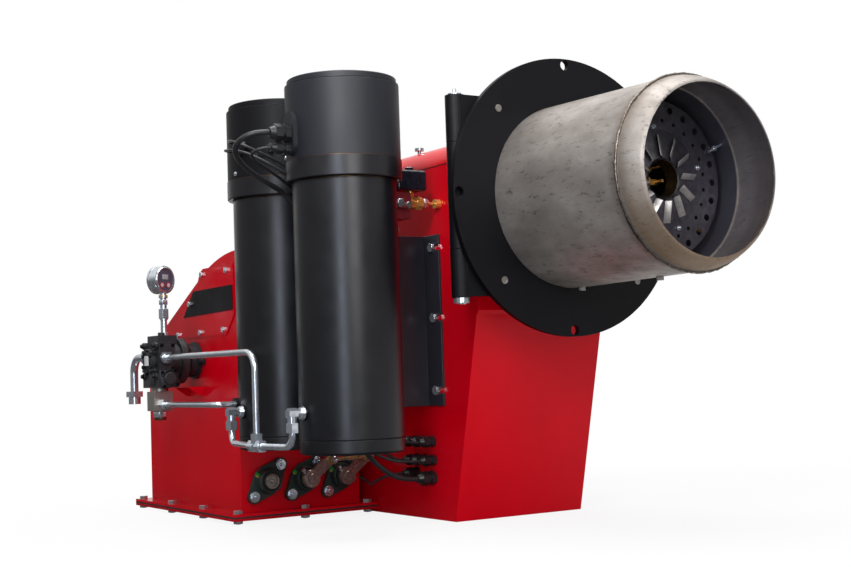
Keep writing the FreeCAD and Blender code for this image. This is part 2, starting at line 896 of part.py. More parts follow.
for i, side_sign in enumerate((-1, 1)):
    electrode = cylinder(
        "electrode_%d" % i, 3, s.lance_carrier - 20,
        (s.hub_radius * 0.75 * side_sign, carrier_y + 2, 2), "-Y"
    )
    near, far = s.lance_radius * 0.5, s.hub_radius * 0.75 + 5
    stay = box(
        "electrode_stay_%d" % i, (near, far) if side_sign > 0 else (-far, -near),
        (carrier_y - 14, carrier_y - 6), (-3.5, 7.5),
    )
    spokes += [electrode, stay]
node(fuse("lance_group", spokes), "oil_lance")

# Drive shaft with the motor rotor, the pump coupling and the pump's own shaft
shaft_left = s.pump_left + 31
coupling_left = s.pump_right + s.lantern_flange + 4
coupling_right = s.box_left - 6
drive_shaft = turned("shaft", [
    (0, shaft_left),
    (s.pump_shaft, shaft_left),
    (s.pump_shaft, coupling_left),
    (s.shaft_radius + 10, coupling_left),
    (s.shaft_radius + 10, coupling_right),
    (s.shaft_radius, coupling_right),
    (s.shaft_radius, s.rotor_left),
    (s.rotor_radius, s.rotor_left),
    (s.rotor_radius, s.rotor_right),
    (s.shaft_radius, s.rotor_right),
    (s.shaft_radius, s.motor_rear + 30),
    (0, s.motor_rear + 30),
], (0, s.fan_y, s.fan_z), "X")
node(drive_shaft, "drive_shaft")

impeller_wheel = turned("impeller_wheel", [
    (s.shaft_radius, s.impeller_right - 30),
    (s.impeller_hub, s.impeller_right - 30),
    (s.impeller_hub, s.impeller_right - 4),
    (s.impeller_radius, s.impeller_right - 4),
    (s.impeller_radius, s.impeller_right),
    (s.shaft_radius, s.impeller_right),
], (0, s.fan_y, s.fan_z), "X")
shroud = turned("impeller_shroud", [
    (s.impeller_eye, s.impeller_left),
    (s.impeller_eye + 3, s.impeller_left),
    (s.impeller_radius, s.impeller_left + 30),
    (s.impeller_radius, s.impeller_left + 33),
    (s.impeller_eye, s.impeller_left + 4),
], (0, s.fan_y, s.fan_z), "X")
wheel_parts = [impeller_wheel, shroud]
blade_length = (s.impeller_radius - s.impeller_eye) * 1.12
for i in range(int(SIZES["blade_count"])):
    angle = i * 360 / SIZES["blade_count"]
    blade = doc.addObject("Part::Box", "fan_blade_%d" % i)
    bind(blade, "Length", s.impeller_right - s.impeller_left - 20)
    bind(blade, "Width", blade_length)
    bind(blade, "Height", 3)
    step_y, step_z = along(s.impeller_eye - 6, angle)
    spin = Rotation(Vector(1, 0, 0), angle - 24)
    seat(blade, (s.impeller_left + 18, s.fan_y + step_y, s.fan_z + step_z), spin)
    wheel_parts.append(blade)
wheel_limit = cylinder(
    "wheel_limit", s.impeller_radius, s.impeller_right - s.impeller_left,
    (s.impeller_left, s.fan_y, s.fan_z), "X"
)
shroud_outside = turned("shroud_outside", [
    (s.impeller_eye + 3, s.impeller_left - 5),
    (s.impeller_radius + 30, s.impeller_left - 5),
    (s.impeller_radius + 30, s.impeller_left + 30 + 30 * 30 / 94),
    (s.impeller_radius, s.impeller_left + 30),
    (s.impeller_eye + 3, s.impeller_left),
], (0, s.fan_y, s.fan_z), "X")
wheel = common("wheel", fuse("wheel_parts", wheel_parts), wheel_limit)
node(cut("wheel_trimmed", wheel, [shroud_outside]), "impeller")

# Inlet: the spool between the two housings and the cone that leads into the impeller
spool = ring(
    "spool", s.spool_radius, s.spool_radius - s.spool_wall, -half - s.box_right,
    (s.box_right, s.fan_y, s.fan_z), "X",
)
cone_start = s.sheet - half
inlet_cone = turned("inlet_cone", [
    (s.spool_radius - s.spool_wall, cone_start),
    (s.spool_radius + 14, cone_start),
    (s.spool_radius + 14, cone_start + 3),
    (s.spool_radius - s.spool_wall + 3, cone_start + 3),
    (s.impeller_eye - 4, s.impeller_left + 6),
    (s.impeller_eye - 7, s.impeller_left + 6),
], (0, s.fan_y, s.fan_z), "X")
node(group("inlet", [spool, inlet_cone]), "inlet_ring")

# Scroll: the sheet band that leads the air round the impeller and forward to the collar
scroll_half = half - s.sheet - 0.5
scroll_out = s.scroll_radius + s.sheet
tongue_y = s.fan_y - s.scroll_radius * 0.5
tongue_rise = s.scroll_radius * math.sqrt(0.75)
scroll_floor = s.fan_z - s.scroll_radius
band_corners = [
    (s.fan_y, scroll_floor - s.sheet, scroll_out),
    (s.fan_y + scroll_out, s.fan_z, scroll_out),
    (s.fan_y, s.fan_z + scroll_out, scroll_out),
    (s.fan_y - scroll_out * 0.5, s.fan_z + scroll_out * math.sqrt(0.75)),
    (tongue_y, s.fan_z + tongue_rise, -s.scroll_radius),
    (s.fan_y, s.fan_z + s.scroll_radius, -s.scroll_radius),
    (s.fan_y + s.scroll_radius, s.fan_z, -s.scroll_radius),
    (s.fan_y, scroll_floor),
    (s.foot_front + 40, scroll_floor),
    (s.foot_front + 40, scroll_floor - s.sheet),
]
node(pad("scroll_band", band_corners, scroll_half * 2, (-scroll_half, 0, 0), "side"), "fan_scroll")

# Electric motor on the right wall
motor_start = half
motor_inner = s.motor_radius - 6
motor_body = turned("motor_body", [
    (s.shaft_radius + 0.05, motor_start),
    (s.motor_seat, motor_start),
    (s.motor_seat, motor_start + 14),
    (s.motor_radius, motor_start + 20),
    (s.motor_radius, s.motor_rear),
    (s.shaft_radius + 0.05, s.motor_rear),
    (s.shaft_radius + 0.05, s.motor_rear - 20),
    (motor_inner, s.motor_rear - 20),
    (motor_inner, s.rotor_right + 10),
    (s.rotor_radius + 1, s.rotor_right + 10),
    (s.rotor_radius + 1, s.rotor_left - 10),
    (motor_inner, s.rotor_left - 10),
    (motor_inner, motor_start + 20),
    (s.shaft_radius + 0.05, motor_start + 20),
], (0, s.fan_y, s.fan_z), "X")
motor_parts = [motor_body]
for i in range(24):
    angle = i * 15
    if 60 < angle < 120:
        continue
    fin = doc.addObject("Part::Box", "fin_%d" % i)
    bind(fin, "Length", s.motor_rear - motor_start - 60)
    bind(fin, "Width", 12)
    bind(fin, "Height", 4)
    fin_y, fin_z = along(s.motor_radius - 3, angle)
    seat(fin, (motor_start + 40, s.fan_y + fin_y, s.fan_z + fin_z), Rotation(Vector(1, 0, 0), angle))
    motor_parts.append(fin)
terminal_box = box(
    "terminal_box", (motor_start + 60, motor_start + 190), (s.fan_y - 60, s.fan_y + 60),
    (s.fan_z + motor_inner + 3, s.fan_z + s.motor_radius + 62),
)
motor_parts.append(terminal_box)
node(fuse("motor", motor_parts), "drive_motor")
cowl_end = s.motor_rear + s.motor_cowl_length
cowl = turned("cowl", [
    (s.motor_radius - 4, s.motor_rear),
    (s.motor_radius, s.motor_rear),
    (s.motor_radius, cowl_end - 10, 10),
    (s.motor_radius - 10, cowl_end),
    (45, cowl_end),
    (45, cowl_end - 3),
    (s.motor_radius - 12, cowl_end - 3, -8),
    (s.motor_radius - 4, cowl_end - 11),
], (0, s.fan_y, s.fan_z), "X")
node(cowl, "motor_fan_cowl")
cooling_hub = ring("cooling_hub", 32, s.shaft_radius, 22, (s.motor_rear + 6, s.fan_y, s.fan_z), "X")
cooling_parts = [cooling_hub]
for i in range(7):
    angle = i * 360 / 7
    vane = doc.addObject("Part::Box", "vane_%d" % i)
    bind(vane, "Length", 22)
    bind(vane, "Width", s.motor_radius - 48)
    bind(vane, "Height", 3)
    vane_y, vane_z = along(30, angle)
    seat(vane, (s.motor_rear + 6, s.fan_y + vane_y, s.fan_z + vane_z), Rotation(Vector(1, 0, 0), angle))
    cooling_parts.append(vane)
node(fuse("cooling_fan", cooling_parts), "motor_cooling_fan")

# Suction box with its bottom flange
box_width = s.box_right - s.box_left
box_outer = pad("box_outer", box_section(0), box_width, (s.box_left, 0, 0), "side")
box_inner = pad(
    "box_inner", box_section(s.sheet), box_width - s.sheet * 2, (s.box_left + s.sheet, 0, 0), "side"
)
rim = box(
    "box_rim", (s.flange_left, -half), (s.flange_front, s.flange_rear),
    (s.box_bottom - s.flange_plate, s.box_bottom),
)
counter_top = s.box_bottom - s.flange_plate - s.flange_gasket
intake_hole = box(
    "intake_hole", (s.intake_left, s.intake_right), (s.intake_front, s.intake_rear),
    (counter_top - s.flange_plate * 2, s.box_bottom + 1),
)
bolt_margin = s.flange_bolt_front - s.flange_front
flange_bolt_pitch = (s.flange_rear - bolt_margin - s.flange_bolt_front) / 3
flange_bolt_places = []
for i in range(4):
    y = s.flange_bolt_front + flange_bolt_pitch * i
    columns = [s.flange_bolt_x, s.flange_bolt_right]
    if i in (0, 3):
        columns.insert(1, s.flange_bolt_middle)
    for x in columns:
        flange_bolt_places.append((x, y))
flange_drills = [
    cylinder(
        "flange_drill_%d" % i, s.flange_bolt_shank + 0.3, s.flange_plate * 6,
        (x, y, counter_top - s.flange_plate * 2),
    )
    for i, (x, y) in enumerate(flange_bolt_places)
]
damper_columns = [s.damper_middle - s.damper_pitch, s.damper_middle, s.damper_middle + s.damper_pitch]
shaft_drills = [
    cylinder(
        "shaft_drill_%d" % i, s.damper_shaft + 3,
        s.box_rear - s.box_front + 40, (x, s.box_front - 20, s.damper_z), "Y"
    )
    for i, x in enumerate(damper_columns)
]
spool_drill = cylinder(
    "spool_drill", s.spool_radius - s.spool_wall, s.sheet * 4,
    (s.box_right - s.sheet * 2, s.fan_y, s.fan_z), "X"
)
pump_drill = cylinder(
    "pump_drill", s.shaft_radius * 2, s.sheet * 4, (s.box_left - s.sheet * 2, s.fan_y, s.fan_z), "X"
)
box_shell = cut("box_shell", box_outer, [box_inner])
rim_cut = cut("box_rim_cut", rim, [intake_hole])
node(
    cut("suction_box_cut", fuse("box_with_rim", [box_shell, rim_cut]),
        flange_drills + shaft_drills + [spool_drill, pump_drill]),
    "suction_box",
)


def rim_layer(name, low, high):
    layer = box(name, (s.flange_left, -half), (s.flange_front, s.flange_rear), (low, high))
    return cut(name + "_cut", layer, [intake_hole] + flange_drills)


node(rim_layer("gasket_layer", counter_top, s.box_bottom - s.flange_plate), "intake_gasket")
node(rim_layer("counter_layer", counter_top - s.flange_plate, counter_top), "intake_counter_flange")

# Bolts of the suction box: through the flange pair, and short ones in the inspection cover
box_bolts = []
grip = s.flange_plate * 2 + s.flange_gasket
for i, (x, y) in enumerate(flange_bolt_places):
    box_bolts.append(bolt(
        "flange_bolt_%d" % i, (x, y, s.box_bottom), "Z", s.flange_bolt_width, 8, s.flange_bolt_shank,
        grip + 7.5, 6.5, grip,
    ))
cover_face = s.box_left - s.cover_sheet
plate_face = cover_face - s.plate_sheet
cover_bolt_places = [
    (944, -256),
    (805, -255),
    (668, -253),
    (790, -114),
    (646, -114),
]
for i, (y, z) in enumerate(cover_bolt_places):
    box_bolts.append(bolt("cover_bolt_%d" % i, (cover_face, y, z), "-X", 13, 5.5, 4, s.cover_sheet))
plate_bolt = (864, -182)
box_bolts.append(bolt(
    "plate_bolt", (plate_face, *plate_bolt), "-X", 13, 5.5, 4, s.cover_sheet + s.plate_sheet,
))
hex_bolts = box_bolts

cover_drills = [(y, z, 4.1) for y, z in cover_bolt_places + [plate_bolt]]
inspection_cover = pad("inspection_plate", [
    (s.cover_front, s.cover_low + s.cover_corner),
    (s.cover_front + s.cover_corner, s.cover_low),
    (s.cover_rear, s.cover_low),
    (s.cover_rear_top + 14, s.cover_high - 28),
    (s.cover_rear_top + 2, s.cover_high - 8),
    (s.cover_rear_top - 18, s.cover_high),
    (s.cover_front, s.cover_high),
], s.cover_sheet, (cover_face, 0, 0), "side", holes=cover_drills)
node(inspection_cover, "inspection_cover")
node(
    pad("bare_plate", [
        (s.cover_front + 3, s.cover_high - 109),
        (s.cover_rear - 65, s.cover_high - 114),
        (s.cover_rear_top + 41, s.cover_high - 52),
        (s.cover_front + 3, s.cover_high - 50),
    ], s.plate_sheet, (plate_face, 0, 0), "side", holes=[(*plate_bolt, 4.1)]),
    "front_plate",
)

# Damper bearings on both end walls, with their bolts and grease caps
bearings = []
bearing_bolts = []
grease_caps = []
reach = s.bearing_bolts_apart / 2
ear = 16
for wall, direction, face in ((0, "-Y", s.box_front), (1, "Y", s.box_rear)):
    tilt = 46 if wall == 0 else -46
    for i, x in enumerate(damper_columns):
        tag = "bearing_%d_%d" % (wall, i)
        place = (x, face, s.damper_z)
        flange_shape = pad(tag + "_flange", [
            (reach, ear),
            (12, s.bearing_hub + 2),
            (-12, s.bearing_hub + 2),
            (-reach, ear, ear),
            (-reach - ear, 0, ear),
            (-reach, -ear),
            (-12, -s.bearing_hub - 2),
            (12, -s.bearing_hub - 2),
            (reach, -ear, ear),
            (reach + ear, 0, ear),
        ], s.bearing_plate, place, direction, tilt)
        hub = cone(tag + "_hub", s.bearing_hub, s.bearing_hub - 3, s.bearing_depth, place, direction)
        bore = cylinder(tag + "_bore", s.damper_shaft + 0.05, s.bearing_depth + 2, place, direction)
        bolt_x, bolt_z = along(reach, s.bearing_tilt)
        drills = []
        for end in (-1, 1):
            spot = (x + bolt_x * end, face, s.damper_z + bolt_z * end)
            drills.append(
                cylinder("%s_drill_%d" % (tag, end + 1), 6.2, s.bearing_plate + 2, spot, direction)
            )
            step = -s.bearing_plate if wall == 0 else s.bearing_plate
            head_spot = (spot[0], face + step, spot[2])
            bearing_bolts.append(
                bolt("%s_bolt_%d" % (tag, end + 1), head_spot, direction, 19, 7, 6, s.bearing_plate)
            )
        bearings.append(cut(tag, fuse(tag + "_body", [flange_shape, hub]), [bore] + drills))
        cap_x, cap_z = along(s.bearing_hub - 2, 150)
        cap_y = face - s.bearing_plate - 6 if wall == 0 else face + s.bearing_plate + 6
        cap = cylinder(tag + "_cap", 4, 9, (x + cap_x, cap_y, s.damper_z + cap_z), "Z")
        seat(cap, (x + cap_x, cap_y, s.damper_z + cap_z), Rotation(Vector(0, 1, 0), -60))
        hub_solid = cone(
            tag + "_hub_solid", s.bearing_hub, s.bearing_hub - 3, s.bearing_depth, place, direction
        )
        grease_caps.append(cut(tag + "_cap_seated", cap, [hub_solid]))
node(group("bearing_group", bearings), "damper_bearings")
node(group("bearing_bolt_group", bearing_bolts), "bearing_bolts")
node(group("grease_group", grease_caps), "grease_caps")

# Dampers: a blade on its shaft, the second and third with a clamp lever at the front
servo_face = s.box_rear + s.bearing_depth + 14
servo_gap = 0.3
blade_front = s.box_front + s.sheet + 3
blade_rear = s.box_rear - s.sheet - 3
pin_x, pin_z = along(s.lever_length, s.lever_angle)
for i, x in enumerate(damper_columns):
    tag = "damper_%d" % (i + 1)
    with_lever = i > 0
    front_end = s.lever_front - 3 if with_lever else s.box_front - s.bearing_depth - 5
    blade = box(
        tag + "_blade", (x - s.blade_half_width, x + s.blade_half_width), (blade_front, blade_rear),
        (s.damper_z - s.blade_sheet / 2, s.damper_z + s.blade_sheet / 2),
    )
    rod = cylinder(
        tag + "_rod", s.damper_shaft, servo_face - servo_gap - front_end, (x, front_end, s.damper_z), "Y"
    )
    parts = [blade, rod]
    if with_lever:
        hub = cylinder(
            tag + "_lever_hub", s.damper_shaft + 9, s.lever_depth, (x, s.lever_front, s.damper_z), "Y"
        )
        arm_box = doc.addObject("Part::Box", tag + "_arm")
        bind(arm_box, "Length", s.lever_length)
        bind(arm_box, "Width", s.lever_depth)
        bind(arm_box, "Height", 24)
        low_x, low_z = along(as_size(12), 90 + SIZES["lever_angle"])
        seat(
            arm_box, (x - low_x, s.lever_front, s.damper_z - low_z),
            Rotation(Vector(0, 1, 0), -SIZES["lever_angle"])
        )
        tip = cylinder(tag + "_tip", 12, s.lever_depth, (x + pin_x, s.lever_front, s.damper_z + pin_z), "Y")
        link_pin = cylinder(
            tag + "_pin", s.link_pin, s.rod_end_depth + 6,
            (x + pin_x, s.lever_front - s.rod_end_depth - 5, s.damper_z + pin_z), "Y",
        )
        parts += [hub, arm_box, tip, link_pin]
    node(fuse(tag + "_whole", parts), tag)

# Link rod between the two levers; its right hand end is the open pivot
link_front = s.lever_front - s.rod_end_depth - 1
first_x = damper_columns[1] + pin_x
second_x = damper_columns[2] + pin_x
link_z = s.damper_z + pin_z
rod_ends = []
for tag, x, bore_radius in (
    ("left", first_x, s.link_pin + 0.05),
    ("right", second_x, s.link_pin + s.open_pivot_clearance),
):
    rod_ends.append(
        ring("rod_end_" + tag, s.rod_end_radius, bore_radius, s.rod_end_depth, (x, link_front, link_z), "Y")
    )
rod_length = second_x - first_x - s.rod_end_radius * 2 + 4
rod_ends.append(cylinder(
    "link_rod", 4.5, rod_length,
    (first_x + s.rod_end_radius - 2, link_front + s.rod_end_depth / 2, link_z), "X"
))
node(fuse("link", rod_ends), "damper_link")

# Damper drives on the rear wall: one for the first blade, one for the linked pair
servo_parts = []
servo_right = 52
for i, x in enumerate(damper_columns[:2]):
    tag = "servo_%d" % i
    back_plate = box(
        tag + "_back_plate", (x - 22, x + servo_right), (servo_face, servo_face + 22),
        (s.damper_z - 35, s.damper_z + 75),
    )
    housing = box(
        tag + "_housing", (x + 17, x + servo_right), (servo_face + 22, servo_face + 90),
        (s.damper_z - 35, s.damper_z + 75),
    )
    stays = []
    for j, stay_x in enumerate((-14, 43)):
        stays.append(cylinder(
            "%s_stay_%d" % (tag, j), 5, servo_face - s.box_rear,
            (x + stay_x, s.box_rear, s.damper_z + 62), "Y"
        ))
    servo_parts.append(fuse(tag, [back_plate, housing] + stays))
node(group("servo_group", servo_parts), "damper_servos")

# Oil heater vessels with their caps; the heater rods hang inside from flanges under the caps
vessel_places = (
    ("front", s.front_vessel_x, s.front_vessel_y),
    ("rear", s.rear_vessel_x, s.rear_vessel_y),
)
heater_hole = 40
rods = []
for tag, x, y in vessel_places:
    radius = s.vessel_radius
    shell = turned(tag + "_vessel_shell", [
        (0, s.vessel_bottom),
        (radius - 6, s.vessel_bottom, 6),
        (radius, s.vessel_bottom + 6),
        (radius, s.groove_z - 1.5),
        (radius - 1.5, s.groove_z),
        (radius, s.groove_z + 1.5),
        (radius, s.ring_low),
        (s.ring_radius - 2, s.ring_low),
        (s.ring_radius, s.ring_low + 2),
        (s.ring_radius, s.ring_high),
        (heater_hole, s.ring_high),
        (heater_hole, s.ring_low),
        (radius - s.vessel_wall, s.ring_low),
        (radius - s.vessel_wall, s.vessel_bottom + s.vessel_wall * 2),
        (0, s.vessel_bottom + s.vessel_wall * 2),
    ], (x, y, 0))
    port = cylinder(
        tag + "_port", 15, s.vessel_wall * 3, (x - radius - s.vessel_wall, y, s.port_z), "X"
    )
    inside = cylinder(
        tag + "_inside", radius - s.vessel_wall, s.ring_low - s.vessel_bottom - s.vessel_wall * 2,
        (x, y, s.vessel_bottom + s.vessel_wall * 2),
    )
    ports = [port]
    if tag == "rear":
        ports.append(cylinder(
            "return_port", 14, radius * 0.3, (x - radius - s.vessel_wall, y + 39, s.manifold_port_z), "X"
        ))
    seated = cut(tag + "_ports", group(tag + "_port_group", ports) if len(ports) > 1 else port, [inside])
    node(fuse(tag + "_vessel_body", [shell, seated]), tag + "_vessel")
    flange = cylinder(tag + "_heater_flange", heater_hole + 20, 10, (x, y, s.ring_high))
    rod_parts = [flange]
    for i in range(6):
        rod_x, rod_y = along(as_size(26), i * 60)
        rod_parts.append(cylinder(
            "%s_rod_%d" % (tag, i), 5, s.ring_high - s.vessel_bottom - 70,
            (x + rod_x, y + rod_y, s.vessel_bottom + 70),
        ))
    rods.append(fuse(tag + "_heater", rod_parts))
node(group("heater_group", rods), "heating_elements")

cap_wall = 3
cap_glands = []


def cap_turned(tag, x, y):
    inner = s.cap_radius - cap_wall
    return turned(tag + "_cap_shell", [
        (inner, s.ring_high),
        (s.cap_radius, s.ring_high),
        (s.cap_radius, s.cap_top - 2, 2),
        (s.cap_radius - 2, s.cap_top),
        (s.lid_radius, s.cap_top),
        (s.lid_radius, s.lid_top - 3, 3),
        (s.lid_radius - 3, s.lid_top),
        (0, s.lid_top),
        (0, s.lid_top - cap_wall),
        (s.lid_radius - cap_wall - 1, s.lid_top - cap_wall),
        (s.lid_radius - cap_wall - 1, s.cap_top - cap_wall),
        (inner, s.cap_top - cap_wall),
    ], (x, y, 0))


def gland(name, place, direction, width, length):
    # a cable gland: body hexagon, cap nut and the rounded mouth, with a bore for the cable
    half_width = as_size(width) / 2
    body = hexagon(name + "_body", width, length * 0.28, place, direction)
    if isinstance(direction, str):
        forward = numbers((0, 0, 0)) + TURNS[direction].multVec(Vector(0, 0, 1))
    else:
        forward = direction.multVec(Vector(0, 0, 1))

    def further(share):
        return tuple(
            as_size(part) + as_size(length) * (share * step)
            for part, step in zip(place, (forward.x, forward.y, forward.z))
        )

    neck = cylinder(name + "_neck", half_width * 0.8, length * 0.14, further(0.27), direction)
    nut = hexagon(name + "_nut", width, length * 0.36, further(0.40), direction)
    mouth = cone(
        name + "_mouth", half_width * 0.9, half_width * 0.6, length * 0.25, further(0.75), direction
    )
    return fuse(name, [body, neck, nut, mouth])


gland_face = s.cap_radius + 8
stadium_half = 22
caps = {}
for tag, x, y in vessel_places:
    caps[tag] = cap_turned(tag, x, y)
plate_low = s.ring_high + 8
plate_high = s.cap_top - 60
raised = pad("gland_plate", [
    (stadium_half, plate_high - stadium_half, stadium_half),
    (0, plate_high, stadium_half),
    (-stadium_half, plate_high - stadium_half),
    (-stadium_half, plate_low + stadium_half, stadium_half),
    (0, plate_low, stadium_half),
    (stadium_half, plate_low + stadium_half),
], 30, (s.front_vessel_x - gland_face, s.front_vessel_y, 0), "side")
cap_inside = cylinder(
    "cap_inside", s.cap_radius - cap_wall, s.cap_top - s.ring_high,
    (s.front_vessel_x, s.front_vessel_y, s.ring_high),
)
node(fuse("front_cap_body", [caps["front"], cut("gland_plate_trimmed", raised, [cap_inside])]), "front_cap")
node(caps["rear"], "rear_cap")

# Cable glands of the caps: two on the plate of the front cap, the others radial on the rear cap
big_gland_z = s.ring_high + 54
small_gland_z = s.ring_high + 22
plate_x = s.front_vessel_x - gland_face
cap_glands = [
    gland(
        "big_cap_gland", (plate_x, s.front_vessel_y, big_gland_z), "-X", s.big_gland_hex, s.gland_length + 4
    ),
    gland(
        "small_cap_gland", (plate_x, s.front_vessel_y, small_gland_z),
        "-X", s.small_gland_hex, s.gland_length
    ),
]
rear_gland_length = 14
rear_gland_spots = ((-166, 58), (-155.6, 71), (-139, 47), (-126, 60))
for i, (angle, rise) in enumerate(rear_gland_spots):
    out_x, out_y = along(s.cap_radius - 0.5, angle)
    place = (s.rear_vessel_x + out_x, s.rear_vessel_y + out_y, s.ring_high + rise)
    outward = Rotation(Vector(0, 0, 1), angle).multiply(TURNS["X"])
    rough = gland("rear_cap_gland_%d" % i, place, outward, 18, rear_gland_length)
    rear_core = cylinder(
        "rear_core_%d" % i, s.cap_radius, 80, (s.rear_vessel_x, s.rear_vessel_y, s.ring_high + 10)
    )
    cap_glands.append(cut("rear_cap_gland_%d_seated" % i, rough, [rear_core]))
node(group("cap_gland_group", cap_glands), "cap_glands")

# Cable glands on the left wall of the housing
gland_rows = (
    (-528, (309, 345, 379)),
    (-570, (308, 345, 379)),
)
wall_glands = []
for z, columns in gland_rows:
    for y in columns:
        wall_glands.append(
            gland(
                "wall_gland_%d" % len(wall_glands), (-half, y, z), "-X", s.small_gland_hex, s.gland_length
            )
        )
wall_glands.append(gland("big_wall_gland", (-half, 313, -610), "-X", s.big_gland_hex - 4, s.gland_length + 4))
wall_glands.append(gland("low_wall_gland", (-half, 381, -600), "-X", s.small_gland_hex, s.gland_length))
node(group("wall_gland_group", wall_glands), "wall_glands")

# Heater bracket: folded plate with open slots, and saddles for the two vessels
flange_inner = -half - s.bracket_sheet
bracket_bolts_z = (s.bracket_bolt_high, s.bracket_bolt_middle, s.bracket_bolt_low)
wall_plate = box(
    "wall_plate", (flange_inner, -half),
    (s.bracket_front, s.bracket_fold), (s.bracket_bottom, s.bracket_top)
)
leg = box(
    "leg", (s.bracket_end, -half), (s.bracket_fold - s.bracket_sheet, s.bracket_fold),
    (s.bracket_bottom, s.bracket_top),
)
slot_half = 6.5
bracket_slots = []
for i, z in enumerate(bracket_bolts_z):
    bracket_slots.append(box(
        "bracket_slot_%d" % i, (flange_inner - 1, -half + 1), (s.bracket_front - 1, s.bracket_bolt_y),
        (z - slot_half, z + slot_half),
    ))
    bracket_slots.append(cylinder(
        "bracket_slot_end_%d" % i, slot_half, s.bracket_sheet + 2,
        (flange_inner - 1, s.bracket_bolt_y, z), "X"
    ))
saddle_low_x = s.front_vessel_x - 34
saddle_high_x = s.front_vessel_x
saddles = []
for i, z in enumerate((s.bracket_top - 60, s.bracket_bottom + 40)):
    saddles.append(box(
        "front_saddle_%d" % i, (saddle_low_x, saddle_high_x),
        (s.front_vessel_y + 80, s.bracket_fold - s.bracket_sheet),
        (z, z + 20),
    ))
    saddles.append(box(
        "rear_saddle_%d" % i, (s.rear_vessel_x - 19, s.rear_vessel_x + 19),
        (s.bracket_fold, s.rear_vessel_y - 100), (z, z + 20),
    ))
vessel_cores = [
    cylinder(tag + "_core", s.vessel_radius, 500, (x, y, -500)) for tag, x, y in vessel_places
]
node(
    cut("bracket", fuse("bracket_body", [wall_plate, leg] + saddles), bracket_slots + vessel_cores),
    "heater_bracket",
)
for i, z in enumerate(bracket_bolts_z):
    hex_bolts.append(
        bolt("bracket_bolt_%d" % i, (flange_inner, s.bracket_bolt_y, z), "-X", 19, 8, 6, s.bracket_sheet)
    )
node(group("hex_bolt_group", hex_bolts), "hex_bolts")

# Solenoid valve group on the housing wall
valve_x = -half - 77
valve_y = s.bracket_front - 1
valve_z = 8
block_right = valve_x - 9
block_left = block_right - 56
block = box("block", (block_left, block_right), (valve_y - 20, valve_y + 40), (valve_z - 38, valve_z + 20))
steel_ends = [
    hexagon("block_fitting_low", 20, 16, (block_left + 24, valve_y + 14, valve_z - 54), "Z"),
    hexagon("block_fitting_front", 22, 16, (block_left + 24, valve_y - 20, valve_z - 6), "-Y"),
    cylinder("block_fitting_left", 9, 18, (block_left - 18, valve_y + 20, valve_z - 4), "X"),
]
node(fuse("valve_block_body", [block] + steel_ends), "valve_block")
coil_low = 33
coil_high = 79
coil = box("coil_box", (valve_x - 47, valve_x + 31), (valve_y - 26, valve_y + 48), (coil_low, coil_high))
coil_rounded = doc.addObject("Part::Fillet", "coil_rounded")
coil_rounded.Base = coil
doc.recompute()
coil_rounded.Edges = [(i + 1, 7.0, 7.0) for i in range(12)]
node(
    fuse("coil_whole", [
        coil_rounded,
        hexagon("coil_nut", 19, 9, (valve_x, valve_y, coil_high - 1)),
        hexagon("coil_nut_side", 17, 7, (valve_x - 32, valve_y + 10, coil_high - 1)),
    ]),
    "solenoid_coil",
)
valve_nut_x = valve_x + 31
node(
    fuse("valve_body", [
        cylinder("valve_neck", 8.5, coil_low - valve_z, (valve_x, valve_y, valve_z)),
        cylinder("valve_barrel", 12, valve_nut_x - block_right, (block_right, valve_y, valve_z), "X"),
        hexagon("valve_hex", 27, 15, (valve_x + 12, valve_y, valve_z), "X"),
        cylinder("valve_outlet", 8, 14, (valve_nut_x, valve_y, valve_z), "X"),
        cylinder("wall_pipe", 3, -half - valve_nut_x - 20, (valve_nut_x + 10, valve_y, valve_z), "X"),
        cylinder("wall_fitting", 10, 13, (-half - 13, valve_y, valve_z), "X"),
    ]),
    "solenoid_valve",
)

# Oil pump with end cover, lantern, gusset bracket and manifold
pump_block = box(
    "pump_block", (s.pump_left + 10, s.pump_left + 50),
    (s.pump_face_y, s.fan_y + 50), (s.fan_z - 42, s.fan_z + 46)
)
pump_barrel = cylinder(
    "pump_barrel", s.pump_half - 3, s.pump_right - s.pump_left - 20,
    (s.pump_left + 20, s.fan_y, s.fan_z), "X"
)
pump_top = box(
    "pump_top", (s.pump_left + 14, s.pump_left + 62),
    (s.fan_y - 36, s.fan_y + 34), (s.fan_z + 40, s.fan_z + 62)
)
pump_low = box(
    "pump_low", (s.pump_left + 6, s.pump_left + 58),
    (s.pump_face_y + 2, s.fan_y + 48), (s.manifold_top, s.fan_z - 34)
)
pump_port = cylinder("pump_port", 15, 8, (s.pipe_x, s.pump_face_y + 2, s.pump_port_z), "-Y")
capped_port = cylinder(
    "capped_port", 18, 8, (s.pump_left + 36, s.pump_face_y + 4, s.manifold_top + 24), "-Y"
)
pump_flange = cylinder("pump_flange", 56, 10, (s.pump_right - 10, s.fan_y, s.fan_z), "X")
pump_core = cylinder(
    "pump_core", s.pump_shaft + 0.05, s.pump_right - s.pump_left - 28,
    (s.pump_left + 30, s.fan_y, s.fan_z), "X"
)
pump_body = fuse("pump_body", [
    pump_block, pump_barrel, pump_top, pump_low, pump_port, capped_port, pump_flange,
])
node(cut("pump", pump_body, [pump_core]), "oil_pump")
cover_parts = [cylinder("pump_cover_disc", 30, 10, (s.pump_left, s.fan_y, s.fan_z), "X")]
for i in range(4):
    y, z = along(as_size(31), 45 + i * 90)
    cover_parts.append(cylinder("cover_ear_%d" % i, 9, 8, (s.pump_left + 2, s.fan_y + y, s.fan_z + z), "X"))
    cover_parts.append(
        cylinder("cover_screw_%d" % i, 5, 6, (s.pump_left - 4, s.fan_y + y, s.fan_z + z), "X")
    )
node(fuse("pump_cover", cover_parts), "pump_end_cover")

